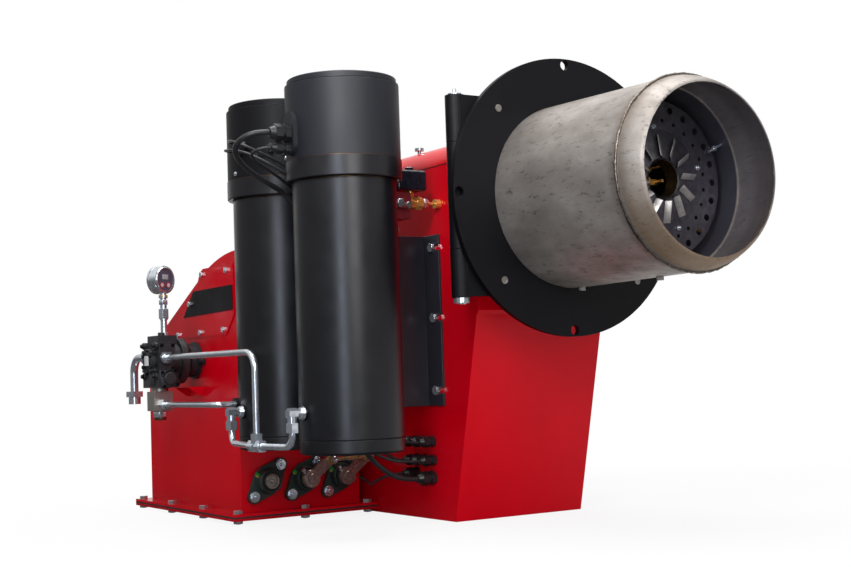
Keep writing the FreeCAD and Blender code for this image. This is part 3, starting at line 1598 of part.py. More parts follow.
lantern = turned("lantern_bell", [
    (s.pump_shaft + 4, s.pump_right),
    (56, s.pump_right),
    (56, s.pump_right + s.lantern_flange),
    (50, s.pump_right + s.lantern_flange + 2),
    (48, s.box_left - s.lantern_flange - 26),
    (41, s.box_left - s.lantern_flange - 18),
    (41, s.box_left - s.lantern_flange),
    (46, s.box_left - s.lantern_flange),
    (46, s.box_left),
    (34, s.box_left),
    (34, s.pump_right + 4),
    (s.pump_shaft + 4, s.pump_right + 4),
], (0, s.fan_y, s.fan_z), "X")
ears = []
for i, side_sign in enumerate((-1, 1)):
    ears.append(
        cylinder(
            "ear_%d" % i, 14, s.lantern_flange,
            (s.box_left - s.lantern_flange, s.fan_y + 52 * side_sign, s.fan_z), "X"
        )
    )
    ears.append(
        cylinder(
            "ear_nut_%d" % i, 8, 8,
            (s.box_left - s.lantern_flange - 8, s.fan_y + 54 * side_sign, s.fan_z), "X"
        )
    )
node(fuse("lantern", [lantern] + ears), "pump_lantern")

gusset_sheet = 5
gussets = []
for i, side_sign in enumerate((-1, 1)):
    gussets.append(pad("gusset_%d" % i, [
        (s.box_left, s.fan_z - 66),
        (s.box_left, s.fan_z - 88),
        (s.box_left - 8, s.fan_z - 88),
        (s.box_left - 40, s.fan_z - 66),
    ], gusset_sheet, (0, s.fan_y + 44 * side_sign, 0), "-Y"))
gussets.append(box(
    "gusset_top", (s.box_left - 40, s.box_left),
    (s.fan_y - 49, s.fan_y + 44), (s.fan_z - 66.5, s.fan_z - 64.3)
))
node(fuse("pump_bracket_body", gussets), "pump_bracket")

manifold_x = s.pump_left + 30
node(
    fuse("manifold_body", [
        cylinder("manifold_neck", 20, 10, (manifold_x, s.fan_y, s.manifold_top - 10)),
        box("manifold_block", (manifold_x - s.manifold_half, manifold_x + s.manifold_half),
            (s.fan_y - s.manifold_half, s.fan_y + s.manifold_half),
            (s.manifold_bottom + 10, s.manifold_top - 9)),
        hexagon("manifold_plug", 30, 12, (manifold_x, s.fan_y, s.manifold_bottom - 2)),
        cylinder("manifold_plug_end", 12, 8, (manifold_x, s.fan_y, s.manifold_bottom - 10)),
    ]),
    "pump_manifold",
)

# Steel pipes
elbow_reach = 29
front_elbow_x = s.front_vessel_x - s.vessel_radius - elbow_reach
rear_elbow_x = s.rear_vessel_x - s.vessel_radius - elbow_reach
pipe_bore = s.pipe_radius - 1.5
bend = 40
port_nut_end = s.pump_face_y - 22
delivery = tube(
    "delivery_path",
    [(s.pipe_x, port_nut_end, s.pump_port_z), (s.pipe_x, s.tee_y, s.pump_port_z),
     (s.pipe_x, s.tee_y, s.tee_z + 26)],
    s.pipe_radius, [bend], pipe_bore,
)
branches = [delivery]
for tag, elbow_x, y, side_sign in (
    ("front", front_elbow_x, s.front_vessel_y, -1),
    ("rear", rear_elbow_x, s.rear_vessel_y, 1),
):
    branches.append(tube(
        tag + "_branch",
        [
            (s.pipe_x, s.tee_y + 27.6 * side_sign, s.tee_z),
            (elbow_x, y, s.tee_z), (elbow_x, y, s.nut_z - 10)
        ],
        s.pipe_radius, [24], pipe_bore,
    ))
node(group("delivery_group", branches), "delivery_pipes")
return_y = s.rear_vessel_y + 39
node(
    tube(
        "return_path",
        [(manifold_x, s.fan_y - s.manifold_half - 18, s.manifold_port_z),
         (manifold_x, return_y, s.manifold_port_z),
         (s.rear_vessel_x - s.vessel_radius - s.vessel_wall, return_y, s.manifold_port_z)],
        s.pipe_radius, [14], pipe_bore,
    ),
    "return_pipe",
)
suction_y = s.fan_y + 145
node(
    tube(
        "suction_path",
        [
            (s.pump_left + 20, s.fan_y + 66, s.pump_port_z + 3),
            (s.pump_left + 20, suction_y, s.pump_port_z + 3),
            (s.pump_left + 20, suction_y, s.fan_z - 72),
        ],
        s.suction_pipe_radius, [38], s.suction_pipe_radius - 2,
    ),
    "suction_pipe",
)

# Fittings: nuts at the pump, tee, elbows at the vessels, union at the suction pipe
elbows = []
for tag, elbow_x, y in (
    ("front", front_elbow_x, s.front_vessel_y), ("rear", rear_elbow_x, s.rear_vessel_y)
):
    port_face = elbow_x + elbow_reach - s.vessel_wall
    elbows.append(fuse(tag + "_elbow", [
        cylinder(tag + "_elbow_arm", 10, port_face - elbow_x, (elbow_x, y, s.port_z), "X"),
        cone(tag + "_elbow_collar", 14, 12, 8, (port_face, y, s.port_z), "-X"),
        cylinder(tag + "_elbow_leg", 10, s.port_z - s.nut_z, (elbow_x, y, s.nut_z)),
        hexagon(tag + "_elbow_back", 20, 20, (elbow_x - 10, y, s.port_z), "X"),
        hexagon(tag + "_elbow_nut", 24, 20, (elbow_x, y, s.nut_z - 10)),
    ]))
tee = fuse("tee", [
    cylinder("tee_run", 10, 52, (s.pipe_x, s.tee_y - 26, s.tee_z), "Y"),
    cylinder("tee_stem", 10, 26, (s.pipe_x, s.tee_y, s.tee_z)),
    hexagon("tee_nut_front", 24, 16, (s.pipe_x, s.tee_y - 26, s.tee_z), "Y"),
    hexagon("tee_nut_rear", 24, 16, (s.pipe_x, s.tee_y + 10, s.tee_z), "Y"),
    hexagon("tee_nut_top", 24, 18, (s.pipe_x, s.tee_y, s.tee_z + 8)),
])
pump_nut = fuse("pump_nut", [
    hexagon("pump_nut_hex", 27, 12, (s.pipe_x, s.pump_face_y - 6, s.pump_port_z), "-Y"),
    cylinder("pump_nut_cap", 11, 4, (s.pipe_x, s.pump_face_y - 18, s.pump_port_z), "-Y"),
])
manifold_nut = hexagon(
    "manifold_nut", 24, 18, (manifold_x, s.fan_y - s.manifold_half, s.manifold_port_z), "-Y"
)
suction_nut = hexagon("suction_nut", 30, 16, (s.pump_left + 20, s.fan_y + 50, s.pump_port_z + 3), "Y")
suction_end_z = s.fan_z - 72
union = fuse("union", [
    hexagon("union_hex", 38, 14, (s.pump_left + 20, suction_y, suction_end_z - 14)),
    cylinder("union_end", 15, 19, (s.pump_left + 20, suction_y, suction_end_z - 32)),
])
node(group("fittings", elbows + [tee, pump_nut, manifold_nut, suction_nut, union]), "pipe_fittings")

# Pressure gauge on its stem, with two push buttons
face_turn = Rotation(Vector(0, 0, 1), SIZES["gauge_turn"]).multiply(TURNS["-Y"])
right_x, right_y = along(as_size(1), s.gauge_turn)
half_depth = s.gauge_depth / 2
gauge_set_back = 7


def on_gauge(across, forward, up):
    # a place on the turned gauge: across and up its face, and forward out of it; the case hangs behind its stem
    forward = forward - as_size(gauge_set_back)
    return (
        s.gauge_x + right_x * across + right_y * forward,
        s.fan_y + right_y * across - right_x * forward,
        s.gauge_z + up,
    )


case = turned("gauge_shell", [
    (0, 0),
    (s.gauge_radius - 3, 0),
    (s.gauge_radius, 3),
    (s.gauge_radius, s.gauge_depth - 3),
    (s.gauge_radius - 3, s.gauge_depth),
    (s.gauge_radius - 5, s.gauge_depth),
    (s.gauge_radius - 5, s.gauge_depth - 3),
    (0, s.gauge_depth - 3),
], (0, 0, 0))
seat(case, on_gauge(0, -half_depth, 0), face_turn)
button_gap = 11
button_low = -13
holes = []
for i, side_sign in enumerate((-1, 1)):
    drill = doc.addObject("Part::Cylinder", "button_hole_%d" % i)
    bind(drill, "Radius", s.button_radius + 0.15)
    bind(drill, "Height", 8)
    seat(drill, on_gauge(button_gap * side_sign, half_depth - 9, button_low), face_turn)
    holes.append(drill)
gauge_neck = cylinder("gauge_neck", 8, 10, (s.gauge_x, s.fan_y, s.gauge_z - s.gauge_radius - 4))
node(cut("gauge", fuse("gauge_body", [case, gauge_neck]), holes), "pressure_gauge")
for i, tag in enumerate(("left", "right")):
    side_sign = i * 2 - 1
    button = doc.addObject("Part::Cylinder", tag + "_button")
    bind(button, "Radius", s.button_radius)
    bind(button, "Height", 6)
    seat(button, on_gauge(button_gap * side_sign, half_depth - 7.5, button_low), face_turn)
    node(button, "gauge_button_" + tag)
stem_low = s.fan_z + 62
stem_top = s.gauge_z - s.gauge_radius - 4
node(
    fuse("gauge_stem_body", [
        cylinder("stem", 8, stem_top - stem_low, (s.gauge_x, s.fan_y, stem_low)),
        hexagon("stem_hex", 22, 24, (s.gauge_x, s.fan_y, stem_low + 42)),
        cylinder("stem_foot", 12, 8, (s.gauge_x, s.fan_y, stem_low)),
        cylinder("stem_brass", 11, 8, (s.gauge_x, s.fan_y, stem_top - 8)),
    ]),
    "gauge_stem",
)

# Cables: heater and sensor cables from the caps to the housing, then the control cables
heavy_cable = 5.75
light_cable = 3.25
cable_gap = 0.3
big_tip = plate_x - s.gland_length - 4 - cable_gap
small_tip = plate_x - s.gland_length - cable_gap
wall_tip = -half - s.gland_length - cable_gap
big_wall_tip = wall_tip - 4


def rear_tip(i):
    angle, rise = rear_gland_spots[i]
    out_x, out_y = along(s.cap_radius + rear_gland_length + cable_gap, angle)
    return (s.rear_vessel_x + out_x, s.rear_vessel_y + out_y, s.ring_high + rise)


heater_cables = [
    tube("front_power_cable", [
        (big_tip, s.front_vessel_y, big_gland_z), (-664, 169.5, 129), (-688, 184, 120),
        (-697, 211, 105), (-681, 238, 86), (-645, 260, 64), (-594, 278, 44), (-540, 293, 22),
        (-494, 296, -22), (-462, 293, -85), (-449, 292, -160), (-453, 295, -240), (-450, 292, -325),
        (-436, 289, -405), (-402, 298.1, -476.6), (-349, 320, -546), (-291, 316, -596),
        (-250, 313.5, -609), (big_wall_tip, 313, -610),
    ], heavy_cable),
    tube("front_sensor_cable", [
        (small_tip, s.front_vessel_y, small_gland_z), (-650, 170, 97.5), (-664, 180, 93),
        (-667, 198, 87), (-650, 219, 80), (-616, 242, 70), (-572, 268, 56), (-524, 292, 34),
        (-482, 303, -6), (-452, 303, -58), (-436, 299, -122), (-433, 297, -200), (-437, 299, -280),
        (-430, 300, -360), (-412, 302, -428), (-380, 325.7, -493.5), (-331, 331, -543),
        (-280, 314, -567), (-248, 308.5, -569), (wall_tip, 308, -570),
    ], light_cable),
    tube("rear_power_cable", [
        rear_tip(0), (-603, 445.5, 134), (-616, 435, 133), (-622.2, 415, 130), (-624.2, 378, 126),
        (-607, 340.1, 114), (-572, 315.5, 92), (-524, 301, 62), (-476, 300, 22), (-440, 301, -32),
        (-423, 300, -98), (-420, 298, -175), (-424, 300, -255), (-417, 300, -335), (-400, 302, -405),
        (-366, 310.5, -465.6), (-322, 348, -520), (-276, 349, -554), (-246, 345.5, -569),
        (wall_tip, 345, -570),
    ], light_cable),
    tube("rear_sensor_cable", [
        rear_tip(1), (-611.3, 408.9, 146.8), (-634.2, 378, 144), (-646.5, 334.4, 137),
        (-633.1, 309.6, 127), (-599.9, 303.2, 112), (-555.9, 302.1, 94), (-504, 298, 68),
        (-456, 300, 30), (-424, 301, -26), (-409, 300, -96), (-407, 297, -175), (-411, 299, -255),
        (-402, 299, -335), (-383, 302, -400), (-348, 307.3, -455), (-308, 340, -497.9),
        (-268, 348, -522), (-242, 345.5, -527), (wall_tip, 345, -528),
    ], light_cable),
    tube("rear_limit_cable", [
        rear_tip(3), (-553.2, 349.3, 136), (-556, 326, 128), (-545, 307, 115), (-522, 299, 98),
        (-492, 298, 77), (-458, 301, 48), (-418, 303, 0), (-399, 300, -70), (-395, 297, -150),
        (-399, 299, -230), (-391, 297, -305), (-376, 295, -375), (-345, 289, -435),
        (-303, 301.3, -487.9), (-266, 311, -516), (-242, 309.5, -527), (wall_tip, 309, -528),
    ], light_cable),
]
node(group("heater_cable_group", heater_cables), "heater_cables")

coil_entry_y = valve_y + 48
coil_entry_z = 56
servo_side = s.damper_middle + servo_right
control_cables = [
    tube("coil_cable", [
        (wall_tip, 379, -528), (-238, 379.5, -527), (-258, 382, -514), (-268, 380, -486),
        (-268, 366, -436), (-264, 350, -370), (-268, 353, -290), (-264, 350, -210),
        (-267, 353, -130), (-264, 356, -66), (-261, 362, -20), (-257, 364, 16), (-254, 354, 44),
        (valve_x, coil_entry_y + 30, coil_entry_z), (valve_x, coil_entry_y + cable_gap, coil_entry_z),
    ], light_cable),
    tube("servo_cable", [
        (wall_tip, 381, -600), (-234, 381, -600.4), (-251, 387, -603), (-261, 404, -609),
        (-262, 428, -617), (-255, 458, -625), (-238, 498, -630), (-214, 545, -629), (-196, 608, -622),
        (-190, 680, -613), (-193, 760, -606), (-190, 845, -602), (-194, 930, -605), (-190, 1015, -602),
        (-192, 1085, -600), (-194, 1145, -597), (-199, 1190, -594), (-212, 1222, -592),
        (-234, 1243, -590.6), (-264, 1252, -590), (-288, 1254, -590),
        (servo_side + cable_gap, 1254, -590),
    ], light_cable),
]
node(group("control_cable_group", control_cables), "control_cables")

# Every object has to be whole before anything is written
doc.recompute()
faults = []
for thing in doc.Objects:
    if "Invalid" in thing.State or "Error" in thing.State:
        faults.append("%s is %s" % (thing.Name, thing.State))
for thing in nodes:
    shape = thing.Shape
    if shape.isNull() or not shape.isValid() or not shape.Solids:
        faults.append("%s has no valid solid" % thing.Label)
if faults:
    raise RuntimeError("; ".join(faults))
os.makedirs("parts", exist_ok=True)
for thing in nodes:
    thing.Shape.exportStep("parts/%s.step" % thing.Label)
print(len(nodes), "sub-parts written")
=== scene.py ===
import json
import math
import bpy
from mathutils import Matrix, Vector


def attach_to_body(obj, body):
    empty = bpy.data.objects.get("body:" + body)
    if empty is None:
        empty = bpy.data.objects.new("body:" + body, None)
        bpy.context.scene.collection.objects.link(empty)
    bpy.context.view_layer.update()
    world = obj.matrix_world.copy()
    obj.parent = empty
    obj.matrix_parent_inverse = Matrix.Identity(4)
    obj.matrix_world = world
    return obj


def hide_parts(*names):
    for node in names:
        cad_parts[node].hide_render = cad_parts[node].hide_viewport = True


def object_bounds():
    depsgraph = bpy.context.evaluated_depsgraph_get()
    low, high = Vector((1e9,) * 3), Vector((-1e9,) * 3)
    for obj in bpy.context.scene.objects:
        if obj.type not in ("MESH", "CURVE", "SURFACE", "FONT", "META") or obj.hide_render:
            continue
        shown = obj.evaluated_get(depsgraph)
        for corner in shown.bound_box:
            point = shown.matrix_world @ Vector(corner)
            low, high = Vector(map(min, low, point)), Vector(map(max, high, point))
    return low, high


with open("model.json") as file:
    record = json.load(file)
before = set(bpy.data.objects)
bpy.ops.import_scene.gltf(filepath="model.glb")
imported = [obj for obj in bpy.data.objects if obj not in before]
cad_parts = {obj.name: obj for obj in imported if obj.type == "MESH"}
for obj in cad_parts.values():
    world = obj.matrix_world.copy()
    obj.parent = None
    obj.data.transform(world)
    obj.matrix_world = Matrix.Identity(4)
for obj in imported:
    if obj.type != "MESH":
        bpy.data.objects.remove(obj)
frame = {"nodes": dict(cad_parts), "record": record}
nodes = frame["nodes"]
bodyOf = {}
for bodyName, members in frame["record"]["behaviour"]["bodies"].items():
    for member in members:
        bodyOf[member] = bodyName
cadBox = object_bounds()
print("frame loaded with", len(nodes), "nodes")

# Camera: low in front of the suction side, rolled by a few degrees; places in metres, roll in radians
camera = {
    "place": (-1.8971, -2.3776, -0.3624),
    "ahead": (0.5368, 0.8415, 0.0609),
    "right": (0.8431, -0.5378, 0.0),
    "roll": -0.0346,
    "lens": 59.09,
}
ahead = Vector(camera["ahead"]).normalized()
sideways = Vector(camera["right"]).normalized()
upward = sideways.cross(ahead)
turn = camera["roll"]
imageRight = math.cos(turn) * sideways + math.sin(turn) * upward
imageUp = math.cos(turn) * upward - math.sin(turn) * sideways
bpy.ops.object.camera_add(location=camera["place"])
photoCamera = bpy.context.object
photoCamera.name = "photoCamera"
photoCamera.rotation_mode = "QUATERNION"
photoCamera.rotation_quaternion = Matrix((imageRight, imageUp, -ahead)).transposed().to_quaternion()
photoCamera.data.lens = camera["lens"]
photoCamera.data.clip_start = 0.1
photoCamera.data.clip_end = 60
bpy.context.scene.camera = photoCamera

# Places that several pieces share, in millimetres as in the solids
vesselSpots = {"front": (-466, 169), "rear": (-457, 482)}
capScrewSpots = {"front": (-571.4, 227.4, 88), "rear": (-576.4, 467.3, 88)}
damperPlaces = (-458, -361, -264)
damperHeight = -610
bearingFace = 590.2
leverReach = 68
leverTilt = math.radians(38)
pumpLine = 849
weldPlace = -383
weldRadius = 194.4
diffuserFace = -300
lanceFace = -244
toFront = (0, -1, 0)
toLeft = (-1, 0, 0)
toRight = (1, 0, 0)
toTop = (0, 0, 1)

# Where the tube's looks change along its length and across it, in metres; the bore behind the ring is painted
# in shade
noseStart = -0.392
innerRadius = 0.1895
ringPlace = -0.3175


def hexToLinear(code):
    # an sRGB hex colour as linear red, green, blue and alpha
    parts = [int(code[i:i + 2], 16) / 255 for i in (1, 3, 5)]
    return tuple(c / 12.92 if c <= 0.04045 else ((c + 0.055) / 1.055) ** 2.4 for c in parts) + (1,)


def addNode(tree, kind, settings=None, links=None):
    # one node with its settings and the links that feed it
    made = tree.nodes.new(kind)
    for name, value in (settings or {}).items():
        if isinstance(name, str) and hasattr(made, name):
            setattr(made, name, value)
        else:
            made.inputs[name].default_value = value
    for name, source in (links or {}).items():
        tree.links.new(source, made.inputs[name])
    return made


def newMaterial(name):
    # an empty material, and the object coordinates that its patterns follow
    material = bpy.data.materials.new(name)
    material.use_nodes = True
    tree = material.node_tree
    tree.nodes.clear()
    place = addNode(tree, "ShaderNodeTexCoord").outputs["Object"]
    return material, tree, place


def finishMaterial(tree, shader):
    # joins the shader to the material's output
    addNode(tree, "ShaderNodeOutputMaterial", links={"Surface": shader.outputs[0]})


def spread(tree, place, grain, detail, low, high, stretch=(1, 1, 1)):
    # noise whose blotches are grain millimetres wide, squeezed between low and high
    if stretch != (1, 1, 1):
        place = addNode(tree, "ShaderNodeMapping", {"Scale": stretch}, {"Vector": place}).outputs[0]
    noise = addNode(
        tree, "ShaderNodeTexNoise", {"Scale": 1000 / grain, "Detail": detail}, {"Vector": place}
    )
    return addNode(tree, "ShaderNodeMapRange", {"From Min": low, "From Max": high},
                   {"Value": noise.outputs["Fac"]}).outputs[0]


def blendColour(tree, share, first, second):
    # first where share is 0, second where it is 1; either may be a hex colour or a socket
    made = addNode(tree, "ShaderNodeMix", {"data_type": "RGBA"}, {0: share})
    for slotNumber, colour in ((6, first), (7, second)):
        if isinstance(colour, str):
            made.inputs[slotNumber].default_value = hexToLinear(colour)
        else:
            tree.links.new(colour, made.inputs[slotNumber])
    return made.outputs[2]


def powderCoat(name, base, deep, roughness, peelMm, peelDepth, sheen=0.5):
    # powder coat: baked plastic skin, so a soft gloss over fine orange peel, a little darker in broad patches
    material, tree, place = newMaterial(name)
    patches = spread(tree, place, 160, 3, 0.35, 0.7)
    colour = blendColour(tree, patches, base, deep)
    gloss = spread(tree, place, 45, 4, 0.3, 0.75)
    rough = addNode(
        tree, "ShaderNodeMapRange",
        {"To Min": roughness - 0.04, "To Max": roughness + 0.05}, {"Value": gloss}
    )
    peel = addNode(tree, "ShaderNodeTexNoise", {"Scale": 1000 / peelMm, "Detail": 2}, {"Vector": place})
    bump = addNode(
        tree, "ShaderNodeBump", {"Strength": 0.35, "Distance": peelDepth / 1000},
        {"Height": peel.outputs["Fac"]}
    )
    shader = addNode(tree, "ShaderNodeBsdfPrincipled", {"IOR": 1.5, "Specular IOR Level": sheen},
                     {"Base Color": colour, "Roughness": rough.outputs[0], "Normal": bump.outputs[0]})
    finishMaterial(tree, shader)
    return material


def plainMetal(
    name, base, shade, roughness, grain, stretch=(1, 1, 1),
    bumpDepth=0.05, metallic=1.0, stainHex=None, stain=0.0
):
    # bare or plated metal: two close tones in fine grain, wandering roughness, stains where oil or heat was
    material, tree, place = newMaterial(name)
    streaks = spread(tree, place, grain, 6, 0.3, 0.7, stretch)
    colour = blendColour(tree, streaks, base, shade)
    if stainHex:
        spots = spread(tree, place, 38, 5, 0.5, 0.78)
        amount = addNode(tree, "ShaderNodeMath", {"operation": "MULTIPLY", 1: stain}, {0: spots}).outputs[0]
        colour = blendColour(tree, amount, colour, stainHex)
    rough = addNode(
        tree, "ShaderNodeMapRange",
        {"To Min": roughness - 0.06, "To Max": roughness + 0.08}, {"Value": streaks}
    )
    bump = addNode(
        tree, "ShaderNodeBump", {"Strength": 0.4, "Distance": bumpDepth / 1000}, {"Height": streaks}
    )
    shader = addNode(tree, "ShaderNodeBsdfPrincipled", {"Metallic": metallic},
                     {"Base Color": colour, "Roughness": rough.outputs[0], "Normal": bump.outputs[0]})
    finishMaterial(tree, shader)
    return material


def moulded(name, base, shade, roughness, grain, depth):
    # moulded plastic or rubber: even colour, fine spark-eroded grain, soft sheen
    material, tree, place = newMaterial(name)
    mottle = spread(tree, place, 22, 3, 0.35, 0.7)
    colour = blendColour(tree, mottle, base, shade)
    fine = addNode(tree, "ShaderNodeTexNoise", {"Scale": 1000 / grain, "Detail": 4}, {"Vector": place})
    bump = addNode(
        tree, "ShaderNodeBump", {"Strength": 0.5, "Distance": depth / 1000}, {"Height": fine.outputs["Fac"]}
    )
    rough = addNode(
        tree, "ShaderNodeMapRange",
        {"To Min": roughness - 0.05, "To Max": roughness + 0.08}, {"Value": mottle}
    )
    shader = addNode(tree, "ShaderNodeBsdfPrincipled", {"IOR": 1.48},
                     {"Base Color": colour, "Roughness": rough.outputs[0], "Normal": bump.outputs[0]})
    finishMaterial(tree, shader)
    return material


def sandCasting(name, base, shade, roughness, grain, depth):
    # painted sand casting: the sand's grain shows through the paint, and the roughness wanders in broad
    # clouds
    material, tree, place = newMaterial(name)
    cloud = spread(tree, place, 30, 5, 0.3, 0.75)
    colour = blendColour(tree, cloud, base, shade)
    sand = addNode(
        tree, "ShaderNodeTexNoise",
        {"Scale": 1000 / grain, "Detail": 5, "Roughness": 0.65}, {"Vector": place}
    )
    pits = addNode(tree, "ShaderNodeTexVoronoi", {"Scale": 1000 / (grain * 1.7)}, {"Vector": place})
    height = addNode(
        tree, "ShaderNodeMath", {"operation": "ADD"}, {0: sand.outputs["Fac"], 1: pits.outputs["Distance"]}
    )
    bump = addNode(
        tree, "ShaderNodeBump", {"Strength": 0.6, "Distance": depth / 1000}, {"Height": height.outputs[0]}
    )
    rough = addNode(
        tree, "ShaderNodeMapRange",
        {"To Min": roughness - 0.08, "To Max": roughness + 0.1}, {"Value": cloud}
    )
    shader = addNode(tree, "ShaderNodeBsdfPrincipled", {"IOR": 1.5},
                     {"Base Color": colour, "Roughness": rough.outputs[0], "Normal": bump.outputs[0]})
    finishMaterial(tree, shader)
    return material


def rolledTubeSteel(name):
    # hot-rolled stainless tube, dull from pickling: rubbed patches, fine scratches, heat colour by the weld,
    # straw colour low on the nose, and painted shade in the bore: darker on the inner wall behind the ring
    # and wherever the surface faces the tube's axis
    material, tree, place = newMaterial(name)
    axes = addNode(tree, "ShaderNodeSeparateXYZ", links={"Vector": place})
    broad = spread(tree, place, 95, 5, 0.3, 0.72, (1, 0.5, 1))
    cloudy = spread(tree, place, 26, 6, 0.32, 0.7, (1, 0.6, 1))
    colour = blendColour(tree, broad, "#B3ACA6", "#7C756F")
    rubbed = addNode(tree, "ShaderNodeMath", {"operation": "MULTIPLY", 1: 0.45}, {0: cloudy}).outputs[0]
    colour = blendColour(tree, rubbed, colour, "#78726D")
    scratchField = addNode(
        tree, "ShaderNodeMapping", {"Scale": (1, 0.3, 1), "Rotation": (0.2, 0, 0.35)}, {"Vector": place}
    )
    scratchNoise = addNode(
        tree, "ShaderNodeTexNoise", {"Scale": 120, "Detail": 10, "Roughness": 0.74},
        {"Vector": scratchField.outputs[0]}
    )
    scratches = addNode(
        tree, "ShaderNodeMapRange", {"From Min": 0.56, "From Max": 0.62},
        {"Value": scratchNoise.outputs["Fac"]}
    ).outputs[0]
    grime = addNode(tree, "ShaderNodeMath", {"operation": "MULTIPLY", 1: 0.55}, {0: scratches}).outputs[0]
    colour = blendColour(tree, grime, colour, "#413B36")
    weldGap = addNode(
        tree, "ShaderNodeMath", {"operation": "ADD", 1: -weldPlace / 1000}, {0: axes.outputs["Y"]}
    )
    weldAway = addNode(tree, "ShaderNodeMath", {"operation": "ABSOLUTE"}, {0: weldGap.outputs[0]})
    heat = addNode(
        tree, "ShaderNodeMapRange", {"From Min": 0.028, "From Max": 0.004, "To Max": 0.55},
        {"Value": weldAway.outputs[0]}
    )
    colour = blendColour(tree, heat.outputs[0], colour, "#5A4A3C")
    goldRing = addNode(
        tree, "ShaderNodeMath", {"operation": "LESS_THAN", 1: noseStart}, {0: axes.outputs["Y"]}
    ).outputs[0]
    goldLow = addNode(
        tree, "ShaderNodeMapRange", {"From Min": 0.02, "From Max": -0.14, "To Max": 0.6},
        {"Value": axes.outputs["Z"]}
    ).outputs[0]
    gold = addNode(tree, "ShaderNodeMath", {"operation": "MULTIPLY"}, {0: goldRing, 1: goldLow}).outputs[0]
    colour = blendColour(tree, gold, colour, "#8A6C48")
    flatPlace = addNode(tree, "ShaderNodeVectorMath", {"operation": "MULTIPLY", 1: (1, 0, 1)}, {0: place})
    reach = addNode(
        tree, "ShaderNodeVectorMath", {"operation": "LENGTH"}, {0: flatPlace.outputs["Vector"]}
    ).outputs["Value"]
    # painted shade: the bore's inner wall behind the ring is darkened
    within = addNode(
        tree, "ShaderNodeMath", {"operation": "LESS_THAN", 1: innerRadius}, {0: reach}
    ).outputs[0]
    behindRing = addNode(
        tree, "ShaderNodeMath", {"operation": "GREATER_THAN", 1: ringPlace}, {0: axes.outputs["Y"]}
    ).outputs[0]
    shaded = addNode(
        tree, "ShaderNodeMath", {"operation": "MULTIPLY"}, {0: within, 1: behindRing}
    ).outputs[0]
    colour = blendColour(tree, shaded, colour, "#55555F")
    # painted shade: every surface that faces the tube's axis is darkened
    facing = addNode(tree, "ShaderNodeTexCoord").outputs["Normal"]
    outwardness = addNode(tree, "ShaderNodeVectorMath", {"operation": "DOT_PRODUCT"},
                          {0: facing, 1: flatPlace.outputs["Vector"]})
    facesIn = addNode(tree, "ShaderNodeMapRange", {"From Min": -0.02, "From Max": -0.08, "To Max": 0.5},
                      {"Value": outwardness.outputs["Value"]}).outputs[0]
    colour = blendColour(tree, facesIn, colour, "#5C5863")
    rough = addNode(tree, "ShaderNodeMapRange", {"To Min": 0.48, "To Max": 0.6}, {"Value": cloudy})
    height = addNode(tree, "ShaderNodeMath", {"operation": "SUBTRACT"}, {0: cloudy, 1: scratches})
    bump = addNode(
        tree, "ShaderNodeBump", {"Strength": 0.35, "Distance": 0.0002}, {"Height": height.outputs[0]}
    )
    shader = addNode(tree, "ShaderNodeBsdfPrincipled", {"Metallic": 0.72},
                     {"Base Color": colour, "Roughness": rough.outputs[0], "Normal": bump.outputs[0]})
    finishMaterial(tree, shader)
    return material


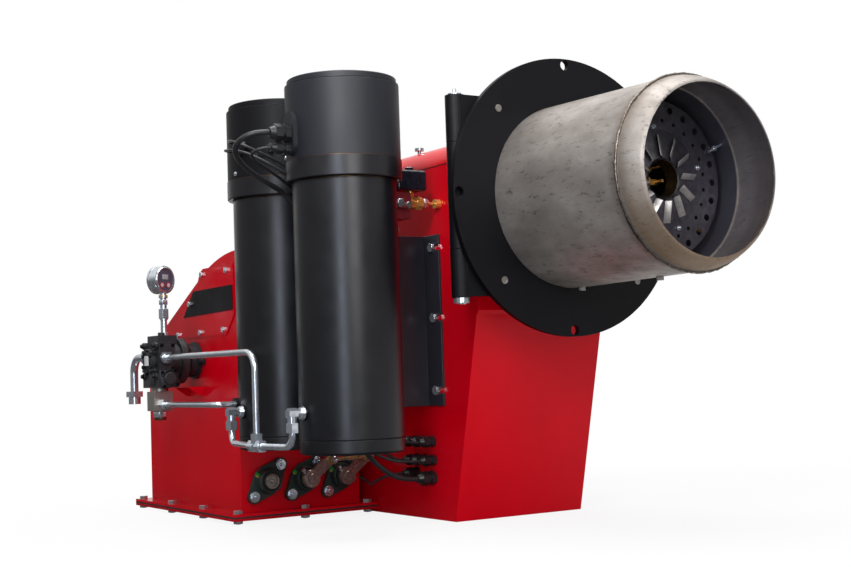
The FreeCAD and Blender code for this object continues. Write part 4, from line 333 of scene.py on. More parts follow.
# Finishes: two close tones each, then roughness, the grain in millimetres and how deep it is.
# Red and black powder coats first, then bare and plated metals, castings, plastics and rubber
finishes = {
    "redCoat": powderCoat("redPowderCoat", "#BE0014", "#B60012", 0.22, 2.6, 0.03, 0.15),
    # painted shade: the intake counter flange gets a darker copy of the red coat
    "redPaintedShade": powderCoat("redPowderCoatPaintedShade", "#A80012", "#A00010", 0.26, 2.6, 0.03, 0.15),
    "blackCoat": powderCoat("blackPowderCoat", "#08070C", "#06060A", 0.5, 1.8, 0.03, 0.2),
    "vesselCoat": powderCoat("blackVesselCoat", "#0E0E13", "#0B0B10", 0.34, 2.2, 0.03),
    "capCoat": powderCoat("blackCapCoat", "#15161D", "#121319", 0.5, 1.6, 0.03, 0.42),
    # painted shade: the rear cap is a darker copy of the front cap's black coat
    "rearCapPaintedShade": powderCoat("blackRearCapPaintedShade", "#08080D", "#07070B", 0.5, 1.6, 0.03, 0.22),
    "bracketCoat": powderCoat("blackBracketCoat", "#26252D", "#212027", 0.4, 1.6, 0.03, 0.5),
    # painted light: the top cover gets a lighter copy of the red coat, with a stronger sheen for the pale
    # reflection along its top
    "redTopPaintedLight": powderCoat("redTopPaintedLightCoat", "#C40012", "#BC0010", 0.2, 2.6, 0.03, 0.6),
    "tubeSteel": rolledTubeSteel("pickledTubeSteel"),
    "innerSteel": plainMetal(
        "diffuserSteel", "#68666E", "#504E56", 0.4, 14, (1, 1, 1), 0.1, 0.9, "#2E2B30", 0.5
    ),
    "zinc": plainMetal(
        "brightZincPlate", "#DCE2EA", "#C6CCD4", 0.16, 18, (1, 1, 1), 0.0, 0.88, "#A39E92", 0.15
    ),
    "steel": plainMetal(
        "machinedSteel", "#ADA7A1", "#8E8882", 0.33, 6, (1, 1, 5), 0.05, 0.85, "#4C443D", 0.3
    ),
    "yellowZinc": plainMetal(
        "yellowZincPlate", "#C2A478", "#A48658", 0.32, 9, (1, 1, 1), 0.05, 0.7, "#5A4632", 0.3
    ),
    "brass": plainMetal(
        "machinedBrass", "#F0C070", "#D8A24E", 0.25, 7, (1, 1, 1), 0.02, 0.7, "#8A642E", 0.2
    ),
    "pumpIron": sandCasting("blackPumpCasting", "#17171A", "#222226", 0.42, 1.6, 0.35),
    "bearingIron": sandCasting("greenBearingCasting", "#1B2622", "#25332E", 0.45, 1.8, 0.3),
    "motorPaint": sandCasting("motorCasting", "#3B4248", "#30363C", 0.42, 1.8, 0.2),
    "blackPlastic": moulded("blackNylon", "#161618", "#1D1D20", 0.34, 1.2, 0.05),
    "coilResin": moulded("blackCoilResin", "#16171F", "#1C1E28", 0.14, 14, 2.4),
    "greenPlastic": moulded("greenCapPlastic", "#0E8A33", "#0B7029", 0.3, 1.2, 0.05),
    "sheath": moulded("blackCableSheath", "#1B1B1D", "#242427", 0.4, 1.5, 0.08),
    "gasketSheet": moulded("blackGasketSheet", "#141414", "#1E1E1E", 0.7, 1.0, 0.1),
    "ropeGasket": moulded("wovenRopeGasket", "#A79D8B", "#857B6A", 0.85, 2.2, 0.8),
    "weldMetal": plainMetal(
        "weldBeadSteel", "#8A837B", "#4E4640", 0.34, 5, (1, 1, 1), 0.3, 1.0, "#6B5238", 0.5
    ),
    # painted light: the swirl louvres get a much lighter steel than the swirl plate, standing in for the
    # light they catch
    "louvrePaintedLight": plainMetal(
        "swirlLouvreSteel", "#C9C6C4", "#A5A19F", 0.4, 10, (1, 1, 1), 0.05, 0.8, "#5A5550", 0.2
    ),
    # painted shade: the collar down in the swirl plate's hole gets a dark steel
    "diffuserShade": plainMetal("collarPaintedShadeSteel", "#4A4744", "#2E2B29", 0.5, 10, (1, 1, 1), 0.05, 1.0),
    "bronzeEdge": plainMetal("barePrimedEdge", "#6B4E38", "#3E2C20", 0.4, 30, (1, 1, 1), 0.0, 1.0),
    "leverSteel": plainMetal(
        "oiledLeverSteel", "#AA9A92", "#887870", 0.3, 9, (1, 1, 1), 0.05, 0.8, "#4A3C36", 0.35
    ),
    "raceSteel": plainMetal(
        "oiledBearingSteel", "#AC9A92", "#7E6C64", 0.3, 8, (1, 1, 1), 0.0, 0.8, "#33261F", 0.4
    ),
    "darkScrew": plainMetal("blackOxideScrew", "#2E2E31", "#1E1E20", 0.34, 6, (1, 1, 1), 0.0, 1.0),
    "unionZinc": plainMetal("yellowishUnion", "#A09A86", "#7C765F", 0.3, 6, (1, 1, 1), 0.0, 1.0),
    "sealRubber": moulded("sealRubber", "#0E0E0F", "#151516", 0.42, 1.0, 0.03),
    "gaugeFace": moulded("gaugeFacePlastic", "#4A4A58", "#3E3E4C", 0.34, 1.0, 0.01),
    "gaugeRed": moulded("gaugeRedPlastic", "#A32129", "#8C1820", 0.35, 1.0, 0.01),
    "displayGlass": moulded("displayGlass", "#9EA0A4", "#8C8F95", 0.12, 1.0, 0.0),
    "palePlate": moulded("paleBlankPlate", "#C9CACD", "#B5B6BA", 0.4, 1.5, 0.02),
    "paleButton": moulded("paleButtonPlastic", "#B9A9AA", "#A59596", 0.36, 1.0, 0.01),
    "blockPaint": powderCoat("darkRedBlockPaint", "#7C262C", "#621E24", 0.3, 3.0, 0.08),
}
print("materials made", len(finishes))

# The finish of each solid
nodeFinish = {
    # the top cover takes the lighter red: painted light
    "main_housing": "redCoat", "top_cover": "redTopPaintedLight", "inlet_ring": "redCoat", "suction_box": "redCoat",
    # the counter flange takes the darker red: painted shade
    "intake_counter_flange": "redPaintedShade", "inspection_cover": "redCoat", "pump_bracket": "redCoat",
    "top_cover_knobs": "zinc", "front_collar": "blackCoat", "collar_gasket": "ropeGasket",
    "hinge_bracket": "blackCoat", "hinge_leaves": "blackCoat", "boiler_flange": "blackCoat",
    "flange_screws": "steel", "hinge_pin": "zinc", "blast_tube": "tubeSteel", "diffuser": "innerSteel",
    "oil_lance": "brass", "fan_scroll": "zinc", "impeller": "zinc", "drive_shaft": "steel",
    "motor_cooling_fan": "blackPlastic", "motor_fan_cowl": "motorPaint", "drive_motor": "motorPaint",
    "intake_gasket": "gasketSheet", "hex_bolts": "zinc", "front_plate": "blackCoat",
    "damper_bearings": "bearingIron", "bearing_bolts": "zinc", "grease_caps": "greenPlastic",
    "damper_servos": "blackPlastic", "front_vessel": "vesselCoat", "rear_vessel": "vesselCoat",
    "heating_elements": "steel", "front_cap": "capCoat",
    # the rear cap takes the darker copy: painted shade
    "rear_cap": "rearCapPaintedShade", "cap_glands": "blackPlastic",
    "wall_glands": "blackPlastic", "heater_bracket": "bracketCoat", "valve_block": "blockPaint",
    "solenoid_coil": "coilResin", "solenoid_valve": "brass", "oil_pump": "pumpIron",
    "pump_end_cover": "pumpIron", "pump_lantern": "pumpIron", "pump_manifold": "steel",
    "delivery_pipes": "zinc", "return_pipe": "zinc", "suction_pipe": "zinc", "pipe_fittings": "zinc",
    "pressure_gauge": "zinc", "gauge_stem": "zinc", "gauge_button_left": "paleButton",
    "gauge_button_right": "paleButton", "damper_1": "steel", "damper_2": "leverSteel",
    "damper_3": "leverSteel", "damper_link": "yellowZinc",
}


def paint(piece, finish):
    # one finish for the whole piece
    piece.data.materials.clear()
    piece.data.materials.append(finishes[finish])


def carry(piece, nodeName):
    # the piece stands for a node and rides on that node's body
    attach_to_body(piece, bodyOf[nodeName])
    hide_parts(nodeName)


def deselectAll():
    # back to object mode with nothing selected
    if bpy.context.object and bpy.context.object.mode != "OBJECT":
        bpy.ops.object.mode_set(mode="OBJECT")
    bpy.ops.object.select_all(action="DESELECT")


# Edges: each copy of a hard piece is merged and gets the edge radius that its making leaves, in millimetres
edgeRadii = {
    "main_housing": 1.2, "top_cover": 1.2, "inlet_ring": 0.8, "suction_box": 1.2,
    "intake_counter_flange": 0.6, "inspection_cover": 0.7, "pump_bracket": 0.8, "hinge_bracket": 1.0,
    "hinge_leaves": 1.0, "boiler_flange": 0.8, "front_collar": 0.8, "front_plate": 0.4,
    "damper_bearings": 1.6, "front_vessel": 1.0, "rear_vessel": 1.0,
    "front_cap": 0.8, "rear_cap": 0.8, "heater_bracket": 1.0, "valve_block": 1.0, "solenoid_coil": 2.2,
    "solenoid_valve": 0.5, "oil_pump": 2.0, "pump_end_cover": 1.6,
    "pump_lantern": 1.5, "pump_manifold": 0.8,
    "pipe_fittings": 0.7, "gauge_stem": 0.6, "hex_bolts": 0.4, "bearing_bolts": 0.4, "wall_glands": 0.7,
    "cap_glands": 0.7, "damper_servos": 1.5, "hinge_pin": 0.6, "grease_caps": 0.5, "top_cover_knobs": 0.5,
    "damper_2": 0.6, "damper_3": 0.6, "damper_link": 0.6,
    "damper_1": 0.6, "drive_motor": 1.5, "motor_fan_cowl": 1.5,
    "blast_tube": 0, "diffuser": 0.5, "pressure_gauge": 0.8, "flange_screws": 0.4, "oil_lance": 0.5,
    "intake_gasket": 0, "collar_gasket": 0, "delivery_pipes": 0, "return_pipe": 0, "suction_pipe": 0,
}
mergeDistance = 0.00001
flatAngle = math.radians(0.4)
edgeAngle = math.radians(32)
smallEdgeAngle = math.radians(35)
tinyMerge = 0.000001
for nodeName, radius in edgeRadii.items():
    deselectAll()
    piece = bpy.data.objects.new(nodeName + "Edged", nodes[nodeName].data.copy())
    bpy.context.scene.collection.objects.link(piece)
    bpy.context.view_layer.objects.active = piece
    piece.select_set(True)
    bpy.ops.object.mode_set(mode="EDIT")
    bpy.ops.mesh.select_all(action="SELECT")
    bpy.ops.mesh.remove_doubles(threshold=mergeDistance)
    bpy.ops.mesh.dissolve_limited(angle_limit=flatAngle, use_dissolve_boundaries=False)
    bpy.ops.object.mode_set(mode="OBJECT")
    if radius:
        bevel = piece.modifiers.new("edgeRadius", "BEVEL")
        bevel.width = radius / 1000
        bevel.segments = 2
        bevel.limit_method = "ANGLE"
        bevel.angle_limit = edgeAngle
        bevel.use_clamp_overlap = True
        bpy.ops.object.modifier_apply(modifier="edgeRadius")
    bpy.ops.object.shade_smooth_by_angle(angle=edgeAngle)
    evened = piece.modifiers.new("evenNormals", "WEIGHTED_NORMAL")
    evened.keep_sharp = True
    evened.weight = 100
    bpy.ops.object.modifier_apply(modifier="evenNormals")
    paint(piece, nodeFinish[nodeName])
    carry(piece, nodeName)
for nodeName, finish in nodeFinish.items():
    if nodeName not in edgeRadii:
        paint(nodes[nodeName], finish)
print("edges softened on", len(edgeRadii), "pieces")


def attach(piece, finish, nodeName):
    # a piece that dresses a node: it gets its finish and moves with that node's body
    paint(piece, finish)
    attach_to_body(piece, bodyOf[nodeName])


def placed(place, axis):
    # turns a piece made along +Z so that it points along axis from place, both in millimetres
    forward = Vector(axis).normalized()
    return Matrix.Translation(Vector(place) / 1000) @ forward.to_track_quat("Z", "Y").to_matrix().to_4x4()


def lathe(name, profile, place, axis, finish, nodeName, steps=40, edge=0.0):
    # a turned piece: profile is radius and length along the axis in millimetres; six steps give a hexagon
    deselectAll()
    mesh = bpy.data.meshes.new(name)
    mesh.from_pydata(
        [(r / 1000, 0, z / 1000) for r, z in profile], [(i, i + 1) for i in range(len(profile) - 1)], []
    )
    piece = bpy.data.objects.new(name, mesh)
    bpy.context.scene.collection.objects.link(piece)
    bpy.context.view_layer.objects.active = piece
    piece.select_set(True)
    bpy.ops.object.mode_set(mode="EDIT")
    bpy.ops.mesh.select_all(action="SELECT")
    bpy.ops.mesh.spin(steps=steps, angle=math.radians(360), center=(0, 0, 0), axis=toTop)
    bpy.ops.mesh.select_all(action="SELECT")
    bpy.ops.mesh.remove_doubles(threshold=tinyMerge)
    bpy.ops.mesh.normals_make_consistent(inside=False)
    bpy.ops.object.mode_set(mode="OBJECT")
    if edge:
        rounded = piece.modifiers.new("edgeRadius", "BEVEL")
        rounded.width = edge / 1000
        rounded.segments = 2
        rounded.limit_method = "ANGLE"
        rounded.angle_limit = smallEdgeAngle
        bpy.ops.object.modifier_apply(modifier="edgeRadius")
    bpy.ops.object.shade_smooth_by_angle(angle=smallEdgeAngle)
    mesh.transform(placed(place, axis))
    attach(piece, finish, nodeName)


def block(name, size, place, axis, finish, nodeName, edge=0.6, roll=0.0):
    # a square-cut piece with bevelled edges; its size is across, up and along the axis, in millimetres
    deselectAll()
    bpy.ops.mesh.primitive_cube_add(size=1)
    piece = bpy.context.object
    piece.name = name
    piece.data.transform(Matrix.Diagonal((size[0] / 1000, size[1] / 1000, size[2] / 1000, 1)))
    rounded = piece.modifiers.new("edgeRadius", "BEVEL")
    rounded.width = edge / 1000
    rounded.segments = 2
    bpy.ops.object.modifier_apply(modifier="edgeRadius")
    bpy.ops.object.shade_smooth_by_angle(angle=smallEdgeAngle)
    piece.data.transform(placed(place, axis) @ Matrix.Rotation(math.radians(roll), 4, "Z"))
    attach(piece, finish, nodeName)


def socketScrew(name, radius, height, place, axis, finish, nodeName):
    # a screw head: a rounded rim round a sunk socket
    seatLevel = height * 0.45
    profile = [
        (0, seatLevel), (radius * 0.45, seatLevel), (radius * 0.5, height),
        (radius * 0.88, height), (radius, height * 0.82), (radius, 0)
    ]
    lathe(name, profile, place, axis, finish, nodeName, steps=18)


# Blast tube: weld bead round the nose joint, made of ripples, with spatter beside it
deselectAll()
bpy.ops.mesh.primitive_torus_add(
    major_radius=weldRadius / 1000, minor_radius=0.0028, major_segments=420, minor_segments=10
)
weldBead = bpy.context.object
weldBead.name = "weldBead"
ripple = bpy.data.textures.new("weldRipple", "CLOUDS")
ripple.noise_scale = 0.006
ripples = weldBead.modifiers.new("ripples", "DISPLACE")
ripples.texture = ripple
ripples.strength = 0.0042
ripples.mid_level = 0.5
bpy.ops.object.modifier_apply(modifier="ripples")
bpy.ops.object.shade_smooth()
weldBead.data.transform(placed((0, weldPlace, 0), toFront))
attach(weldBead, "weldMetal", "blast_tube")
for i in range(26):
    angle = math.radians(100 + i * 9.3 + 5 * math.sin(i * 2.7))
    radius = weldRadius - 0.017 * (6 + 5 * math.sin(i * 1.9))
    lathe("weldSpatter%d" % i, [(0, 0.9), (0.9, 0.6), (1.2, -0.6)],
          (radius * math.cos(angle), weldPlace + 8 + 5 * math.sin(i * 1.9), radius * math.sin(angle)),
          (math.cos(angle), 0, math.sin(angle)), "weldMetal", "blast_tube", steps=8)

# Swirl plate: one raised louvre beside each slot, a rolled collar in the hole, bolts and the stay to the tube
louvreCount = 12
for i in range(louvreCount):
    angle = math.radians(i * 360 / louvreCount)
    outward = Vector((math.cos(angle), 0, math.sin(angle)))
    across = Vector((-math.sin(angle), 0, math.cos(angle)))
    slope = (outward * 41 + Vector((0, 8, 0))).normalized()
    lift = (across * 0.78 + Vector((0, -0.62, 0))).normalized()
    deselectAll()
    bpy.ops.mesh.primitive_cube_add(size=1)
    louvre = bpy.context.object
    louvre.name = "swirlLouvre%d" % i
    louvre.data.transform(Matrix.Diagonal((0.045, 0.0145, 0.0014, 1)))
    rounded = louvre.modifiers.new("edgeRadius", "BEVEL")
    rounded.width = 0.0006
    rounded.segments = 2
    bpy.ops.object.modifier_apply(modifier="edgeRadius")
    bpy.ops.object.shade_smooth_by_angle(angle=smallEdgeAngle)
    sheetNormal = slope.cross(lift).normalized()
    centre = outward * 67 + Vector((0, -297.2, 0)) + across * 2.6 + lift * 5.2
    louvre.data.transform(
        Matrix.Translation(centre / 1000) @ Matrix((slope, lift, sheetNormal)).transposed().to_4x4()
    )
    # the louvres take the lighter steel: painted light
    attach(louvre, "louvrePaintedLight", "diffuser")
# the collar takes the dark steel: painted shade in the hole
lathe(
    "swirlCollar",
    [
        (40.0, 0), (41.4, 1.6), (42.0, 0.4), (41.6, -1), (39.8, -2.4),
        (39.4, -34), (38.2, -34), (38.2, -1), (40.0, 0)
    ],
    (0, diffuserFace, 0), toFront, "diffuserShade", "diffuser", steps=64
)
for i, angle in enumerate((96, 15, -65, 205)):
    spot = (107 * math.cos(math.radians(angle)), diffuserFace + 14, 107 * math.sin(math.radians(angle)))
    lathe(
        "swirlNut%d" % i, [(0, 4.4), (5.2, 4.4), (5.7, 3.8), (5.7, 0)],
        spot, toFront, "zinc", "diffuser", steps=6
    )
    lathe(
        "swirlThread%d" % i, [(0, 9), (2.4, 9), (2.9, 8.4), (2.9, 4)],
        spot, toFront, "zinc", "diffuser", steps=16
    )
for i, angle in enumerate((25, 145, 265)):
    heading = (math.cos(math.radians(angle)), 0, math.sin(math.radians(angle)))
    foot = (150 * heading[0], -291.6, 150 * heading[2])
    lathe("stayRod%d" % i, [(0, 0), (3.2, 0), (3.2, 37.4)], foot, heading, "zinc", "diffuser", steps=20)
    lathe(
        "stayNut%d" % i, [(3, 13.5), (6.4, 13.5), (6.4, 19), (3, 19)],
        foot, heading, "zinc", "diffuser", steps=6, edge=0.5
    )
    block(
        "stayClip%d" % i, (12, 10, 3), (145 * heading[0], -287.6, 145 * heading[2]),
        toFront, "innerSteel", "diffuser"
    )
# Nozzle block behind the hole: nozzle head and its swivel nuts
for name, profile, place, axis, finish in (
    ("nozzleHead", [(0, 10), (4, 10), (6, 8), (10, 7), (13, 2), (13, -6)], (0, -248, 0), toFront, "brass"),
    ("nozzleNutUpper", [(0, 9), (7, 9), (8, 7), (8, 0)], (-6, lanceFace, 12), (-0.3, -1, 0.2), "brass"),
    ("nozzleNutLower", [(0, 9), (7, 9), (8, 7), (8, 0)], (-4, lanceFace, -12), (-0.2, -1, -0.3), "brass"),
    ("nozzleUnion", [(0, 7), (6, 7), (7, 5), (7, 0)], (-15, -243, 0), (-0.6, -1, 0), "brass"),
):
    lathe(name, profile, place, axis, finish, "oil_lance", steps=6, edge=0.7)
print("head dressed")

# Flange and tube screws: sunk socket heads in the black flange
for xSide in (-1, 1):
    for zSide in (-1, 1):
        socketScrew(
            "sunkHead%d%d" % (xSide, zSide), 7.8, 1.0,
            (182.4 * xSide, -0.2, 182.4 * zSide), toFront, "steel", "flange_screws"
        )

# Heater vessels and caps: the bare edge of the seal ring shows as a bronze line, and screws hold the caps
for tag, (x, y) in vesselSpots.items():
    lathe(
        tag + "SealEdge", [(120.4, 0), (121.3, 0.5), (121.3, 1.6), (120.4, 2.0)],
        (x, y, 75.4), toTop, "bronzeEdge", tag + "_cap", steps=96
    )
    lathe(
        tag + "RingEdge", [(109.4, 0), (110.5, 0.5), (110.5, 2.0), (109.4, 2.4)],
        (x, y, 31.4), toTop, "bronzeEdge", tag + "_vessel", steps=96
    )
    lathe(
        tag + "LidGap", [(116.4, 0), (119.9, 0.2), (120.2, 1.4), (116.4, 1.6)],
        (x, y, 234.6), toTop, "blackPlastic", tag + "_cap", steps=96
    )
for tag, spot in capScrewSpots.items():
    away = (spot[0] - vesselSpots[tag][0], spot[1] - vesselSpots[tag][1], 0)
    lathe(
        tag + "CapScrew", [(0, 3.4), (2.6, 3.2), (4.6, 2.0), (5.2, 0.4), (5.2, -1)],
        spot, away, "zinc", tag + "_cap", steps=20
    )
# The joint between the top cover and the housing shows as a dark line on both sides
for i, xSide in enumerate((-1, 1)):
    block(
        "coverSeam%d" % i, (1042, 2.2, 0.8), (176.1 * xSide, 636, 95.6),
        (xSide, 0, 0), "sealRubber", "top_cover", 0.3
    )
print("vessels dressed")

# Pressure gauge: dark face with a pale display and a red field round the two buttons, in a two-step case
gaugeAcross = Vector((0.9078, 0.4195, 0))
gaugeOut = Vector((0.4195, -0.9078, 0))
gaugeMiddle = Vector((-604.94, 855.36, -123))
buttonDrop = Vector((0, 0, -13))
buttonGap = gaugeAcross * 10.5
lathe(
    "gaugeFace", [(0, 0.6), (27.6, 0.6), (28.1, 0)], gaugeMiddle + gaugeOut * 14.2,
    gaugeOut, "gaugeFace", "pressure_gauge", steps=64
)
block(
    "gaugeDisplay", (20, 12, 0.9), gaugeMiddle + gaugeOut * 15.0 + Vector((0, 0, 7)),
    gaugeOut, "displayGlass", "pressure_gauge", 0.3
)
for fieldName, side in (("gaugeRedField", buttonGap), ("gaugeRedFieldLeft", -buttonGap)):
    lathe(fieldName, [(0, 0.5), (7.2, 0.5), (7.4, 0)], gaugeMiddle + gaugeOut * 14.7 + buttonDrop + side,
          gaugeOut, "gaugeRed", "pressure_gauge", steps=40)
for ringName, low, high in (("gaugeRearBand", -15.5, -9), ("gaugeFrontBand", 7, 15.2)):
    lathe(ringName, [(32.9, 0), (34.2, 0.8), (34.2, high - low - 0.8), (32.9, high - low)],
          gaugeMiddle + gaugeOut * low, gaugeOut, "zinc", "pressure_gauge", steps=72)
for i, angle in enumerate((90, 210, 330)):
    side = gaugeAcross * math.cos(math.radians(angle)) + Vector((0, 0, math.sin(math.radians(angle))))
    socketScrew(
        "visorScrew%d" % i, 2.6, 2.0, gaugeMiddle + gaugeOut * 11 + side * 34,
        side, "zinc", "pressure_gauge"
    )
lathe(
    "gaugeBrassRing", [(8, 0), (11.6, 0), (12, 0.6), (12, 6.4), (11.6, 7), (8, 7)],
    (-602, pumpLine, -167), toTop, "brass", "gauge_stem", steps=6, edge=0.4
)
lathe(
    "stemUpperNut", [(7.8, 0), (11, 0), (11.6, 1), (11.6, 11), (11, 12), (7.8, 12)],
    (-602, pumpLine, -184), toTop, "zinc", "gauge_stem", steps=6, edge=0.5
)
lathe(
    "stemBarrel", [(7.0, 0), (9.8, 0.6), (9.8, 19.4), (7.0, 20)],
    (-602, pumpLine, -222), toTop, "zinc", "gauge_stem", steps=32
)

# Oil pump: end cover with its screws and blank plate, corner screws, and the square cap low on the right
lathe(
    "pumpCoverRing", [(19, 2.5), (22, 1), (29, 1), (31, -1), (31, -6)],
    (-646.2, pumpLine, -322), toLeft, "pumpIron", "pump_end_cover", steps=48
)
block("pumpBlankPlate", (26, 24, 1.2), (-649.0, pumpLine, -320), toLeft, "palePlate", "pump_end_cover", 0.4)
for i in range(6):
    angle = math.radians(30 + i * 60)
    socketScrew(
        "coverScrew%d" % i, 4.4, 5,
        (-647, pumpLine + 26.5 * math.cos(angle), -322 + 26.5 * math.sin(angle)),
        toLeft, "darkScrew", "pump_end_cover"
    )
for i, (x, z) in enumerate(((-630, -284), (-602, -284), (-630, -356), (-602, -340))):
    socketScrew("blockScrew%d" % i, 4.6, 5, (x, 797.5, z), toFront, "darkScrew", "oil_pump")
for i, (y, z) in enumerate(((812, -284), (886, -284), (812, -358), (886, -358))):
    lathe(
        "pumpLug%d" % i, [(0, 7), (7.5, 7), (8.5, 6), (8.5, -3)],
        (-636.5, y, z), toLeft, "pumpIron", "oil_pump", steps=24
    )
    socketScrew("lugScrew%d" % i, 5, 6, (-643, y, z), toLeft, "darkScrew", "oil_pump")
block("capFlange", (46, 46, 7), (-612, 796.5, -364), toFront, "pumpIron", "oil_pump", 4.5, 8)
lathe(
    "roundCap", [(0, 9), (13, 9), (15.5, 7), (16, 0)],
    (-612, 794, -364), toFront, "pumpIron", "oil_pump", steps=40
)
for i in range(4):
    angle = math.radians(53 + i * 90)
    socketScrew(
        "capFlangeScrew%d" % i, 4.2, 4.6,
        (-612 + 24.5 * math.cos(angle), 793.4, -364 + 24.5 * math.sin(angle)),
        toFront, "darkScrew", "oil_pump"
    )
block("lowBlockRib", (26, 30, 5), (-641.5, 834, -366), toLeft, "pumpIron", "oil_pump", 1.5)
lathe(
    "topPlug", [(0, 8), (8, 8), (9, 7), (9, 0)], (-620, 822, -260.5),
    toTop, "pumpIron", "oil_pump", steps=6, edge=0.6
)
lathe(
    "manifoldNut", [(10, 0), (17, 0), (18, 1), (18, 13), (17, 14), (10, 14)],
    (-616, pumpLine, -457), toTop, "zinc", "pump_manifold", steps=6, edge=0.7
)
lathe(
    "manifoldUnion", [(0, 0), (13.5, 0), (14.2, 1), (14.2, 9), (10, 9)],
    (-616, pumpLine, -465), toTop, "unionZinc", "pump_manifold", steps=40
)
print("pump and gauge dressed")

# Damper bearings: raised lip and seal ring, an inner race on the first, washers and studs on the bolts,
# and a grease nipple; the first shaft ends in a bolt
for i, x in enumerate(damperPlaces):
    lathe(
        "bearingLip%d" % i, [(23, -1), (23.4, 1.6), (25.6, 2.4), (27.4, 1.6), (27.8, -1)],
        (x, 572, damperHeight), toFront, "bearingIron", "damper_bearings", steps=56
    )
    lathe(
        "bearingSeal%d" % i, [(17.6, 0.2), (17.8, 1.2), (22.6, 1.0), (23, 0)],
        (x, 571.8, damperHeight), toFront, "sealRubber", "damper_bearings", steps=48
    )
    if i == 0:
        lathe(
            "innerRace%d" % i, [(12.9, 0), (12.9, 6.6), (13.6, 7.4), (16.6, 7.4), (17.4, 6.6), (17.4, 0)],
            (x, 571.5, damperHeight), toFront, "raceSteel", "damper_bearings", steps=48
        )
        lathe(
            "shaftBolt", [(0, 8), (5, 8), (6, 7.2), (6, 0)], (x, 566.5, damperHeight),
            toFront, "steel", "damper_1", steps=6, edge=0.4
        )
    for end in (-1, 1):
        boltSpot = (x + 34.38 * end, bearingFace, damperHeight + 35.61 * end)
        lathe(
            "bearingWasher%d%d" % (i, end), [(9.2, 1.8), (12.2, 1.8), (12.6, 1.4), (12.6, 0)],
            boltSpot, toFront, "zinc", "bearing_bolts", steps=32
        )
        lathe(
            "bearingStud%d%d" % (i, end), [(0, 11), (3.4, 11), (4.2, 10.2), (4.2, 6.8)],
            boltSpot, toFront, "zinc", "bearing_bolts", steps=20
        )
    lathe(
        "greaseNipple%d" % i, [(0, 5), (2, 5), (3, 3), (3, -3)],
        (x - 29, 585, damperHeight + 13), (-0.86, 0, 0.5), "brass", "damper_bearings", steps=14
    )
# Levers: clamp hub with its pinch screw, and the pins with socket heads
for i, x in enumerate(damperPlaces[1:]):
    damper = "damper_%d" % (i + 2)
    lathe(
        "clampHub%d" % i, [(0, 3.4), (5.2, 3.4), (6, 6.6), (10.8, 6.6), (12, 5.4), (12, 0)],
        (x, 553.5, damperHeight), toFront, "leverSteel", damper, steps=40
    )
    lathe(
        "clampBody%d" % i, [(12.6, 0), (19.8, 0), (20.6, 1), (20.6, 15), (19.8, 16), (12.6, 16)],
        (x, 566.6, damperHeight), toFront, "leverSteel", damper, steps=40
    )
    lathe(
        "pinchScrew%d" % i, [(0, 9), (4.2, 9), (5, 8), (5, 0)], (x - 16, 560, damperHeight + 15),
        (-0.5, -0.2, 0.84), "zinc", damper, steps=6, edge=0.4
    )
    pinX = x + leverReach * math.cos(leverTilt)
    pinZ = damperHeight + leverReach * math.sin(leverTilt)
    socketScrew("pinHead%d" % i, 8.2, 7, (pinX, 539.4, pinZ), toFront, "zinc", damper)
    lathe(
        "pinBush%d" % i, [(5.4, 0), (11.4, 0), (12, 0.8), (12, 2.6), (5.4, 3)],
        (pinX, 555.2, pinZ), toFront, "brass", damper, steps=32
    )
print("dampers dressed")

# Solenoid valve: nut and washer on the coil, a ridge and a nut on the brass barrel, fittings on the red block
lathe(
    "coilNut", [(0, 9), (8, 9), (9.4, 8), (9.4, 0)], (-253, 252, 78.8),
    toTop, "zinc", "solenoid_coil", steps=6, edge=0.5
)
lathe(
    "coilWasher", [(0, 1.4), (13, 1.4), (13.4, 0)],
    (-253, 252, 78.6), toTop, "zinc", "solenoid_coil", steps=32
)
lathe(
    "valveNut", [(8, 0), (10.5, 0), (11.5, 1), (11.5, 10), (10.5, 11), (8, 11)],
    (-221, 252, 8), toRight, "zinc", "solenoid_valve", steps=6, edge=0.4
)
lathe(
    "valveRidge", [(11.8, 0), (13.4, 0.8), (13.4, 4), (11.8, 4.8)],
    (-259, 252, 8), toRight, "brass", "solenoid_valve", steps=32
)
lathe(
    "blockHexFront", [(0, 8), (9, 8), (10.5, 6.5), (10.5, 0)],
    (-303, 216, 2), toFront, "zinc", "valve_block", steps=6, edge=0.5
)
lathe(
    "blockCylinder", [(0, 22), (6, 22), (7.5, 20), (7.5, 0)],
    (-281, 232, -2), toFront, "steel", "valve_block", steps=32
)
lathe(
    "blockHexLow", [(0, 10), (8.5, 10), (10, 8.5), (10, 0)],
    (-285, 266, -46), (0, 0, -1), "zinc", "valve_block", steps=6, edge=0.5
)

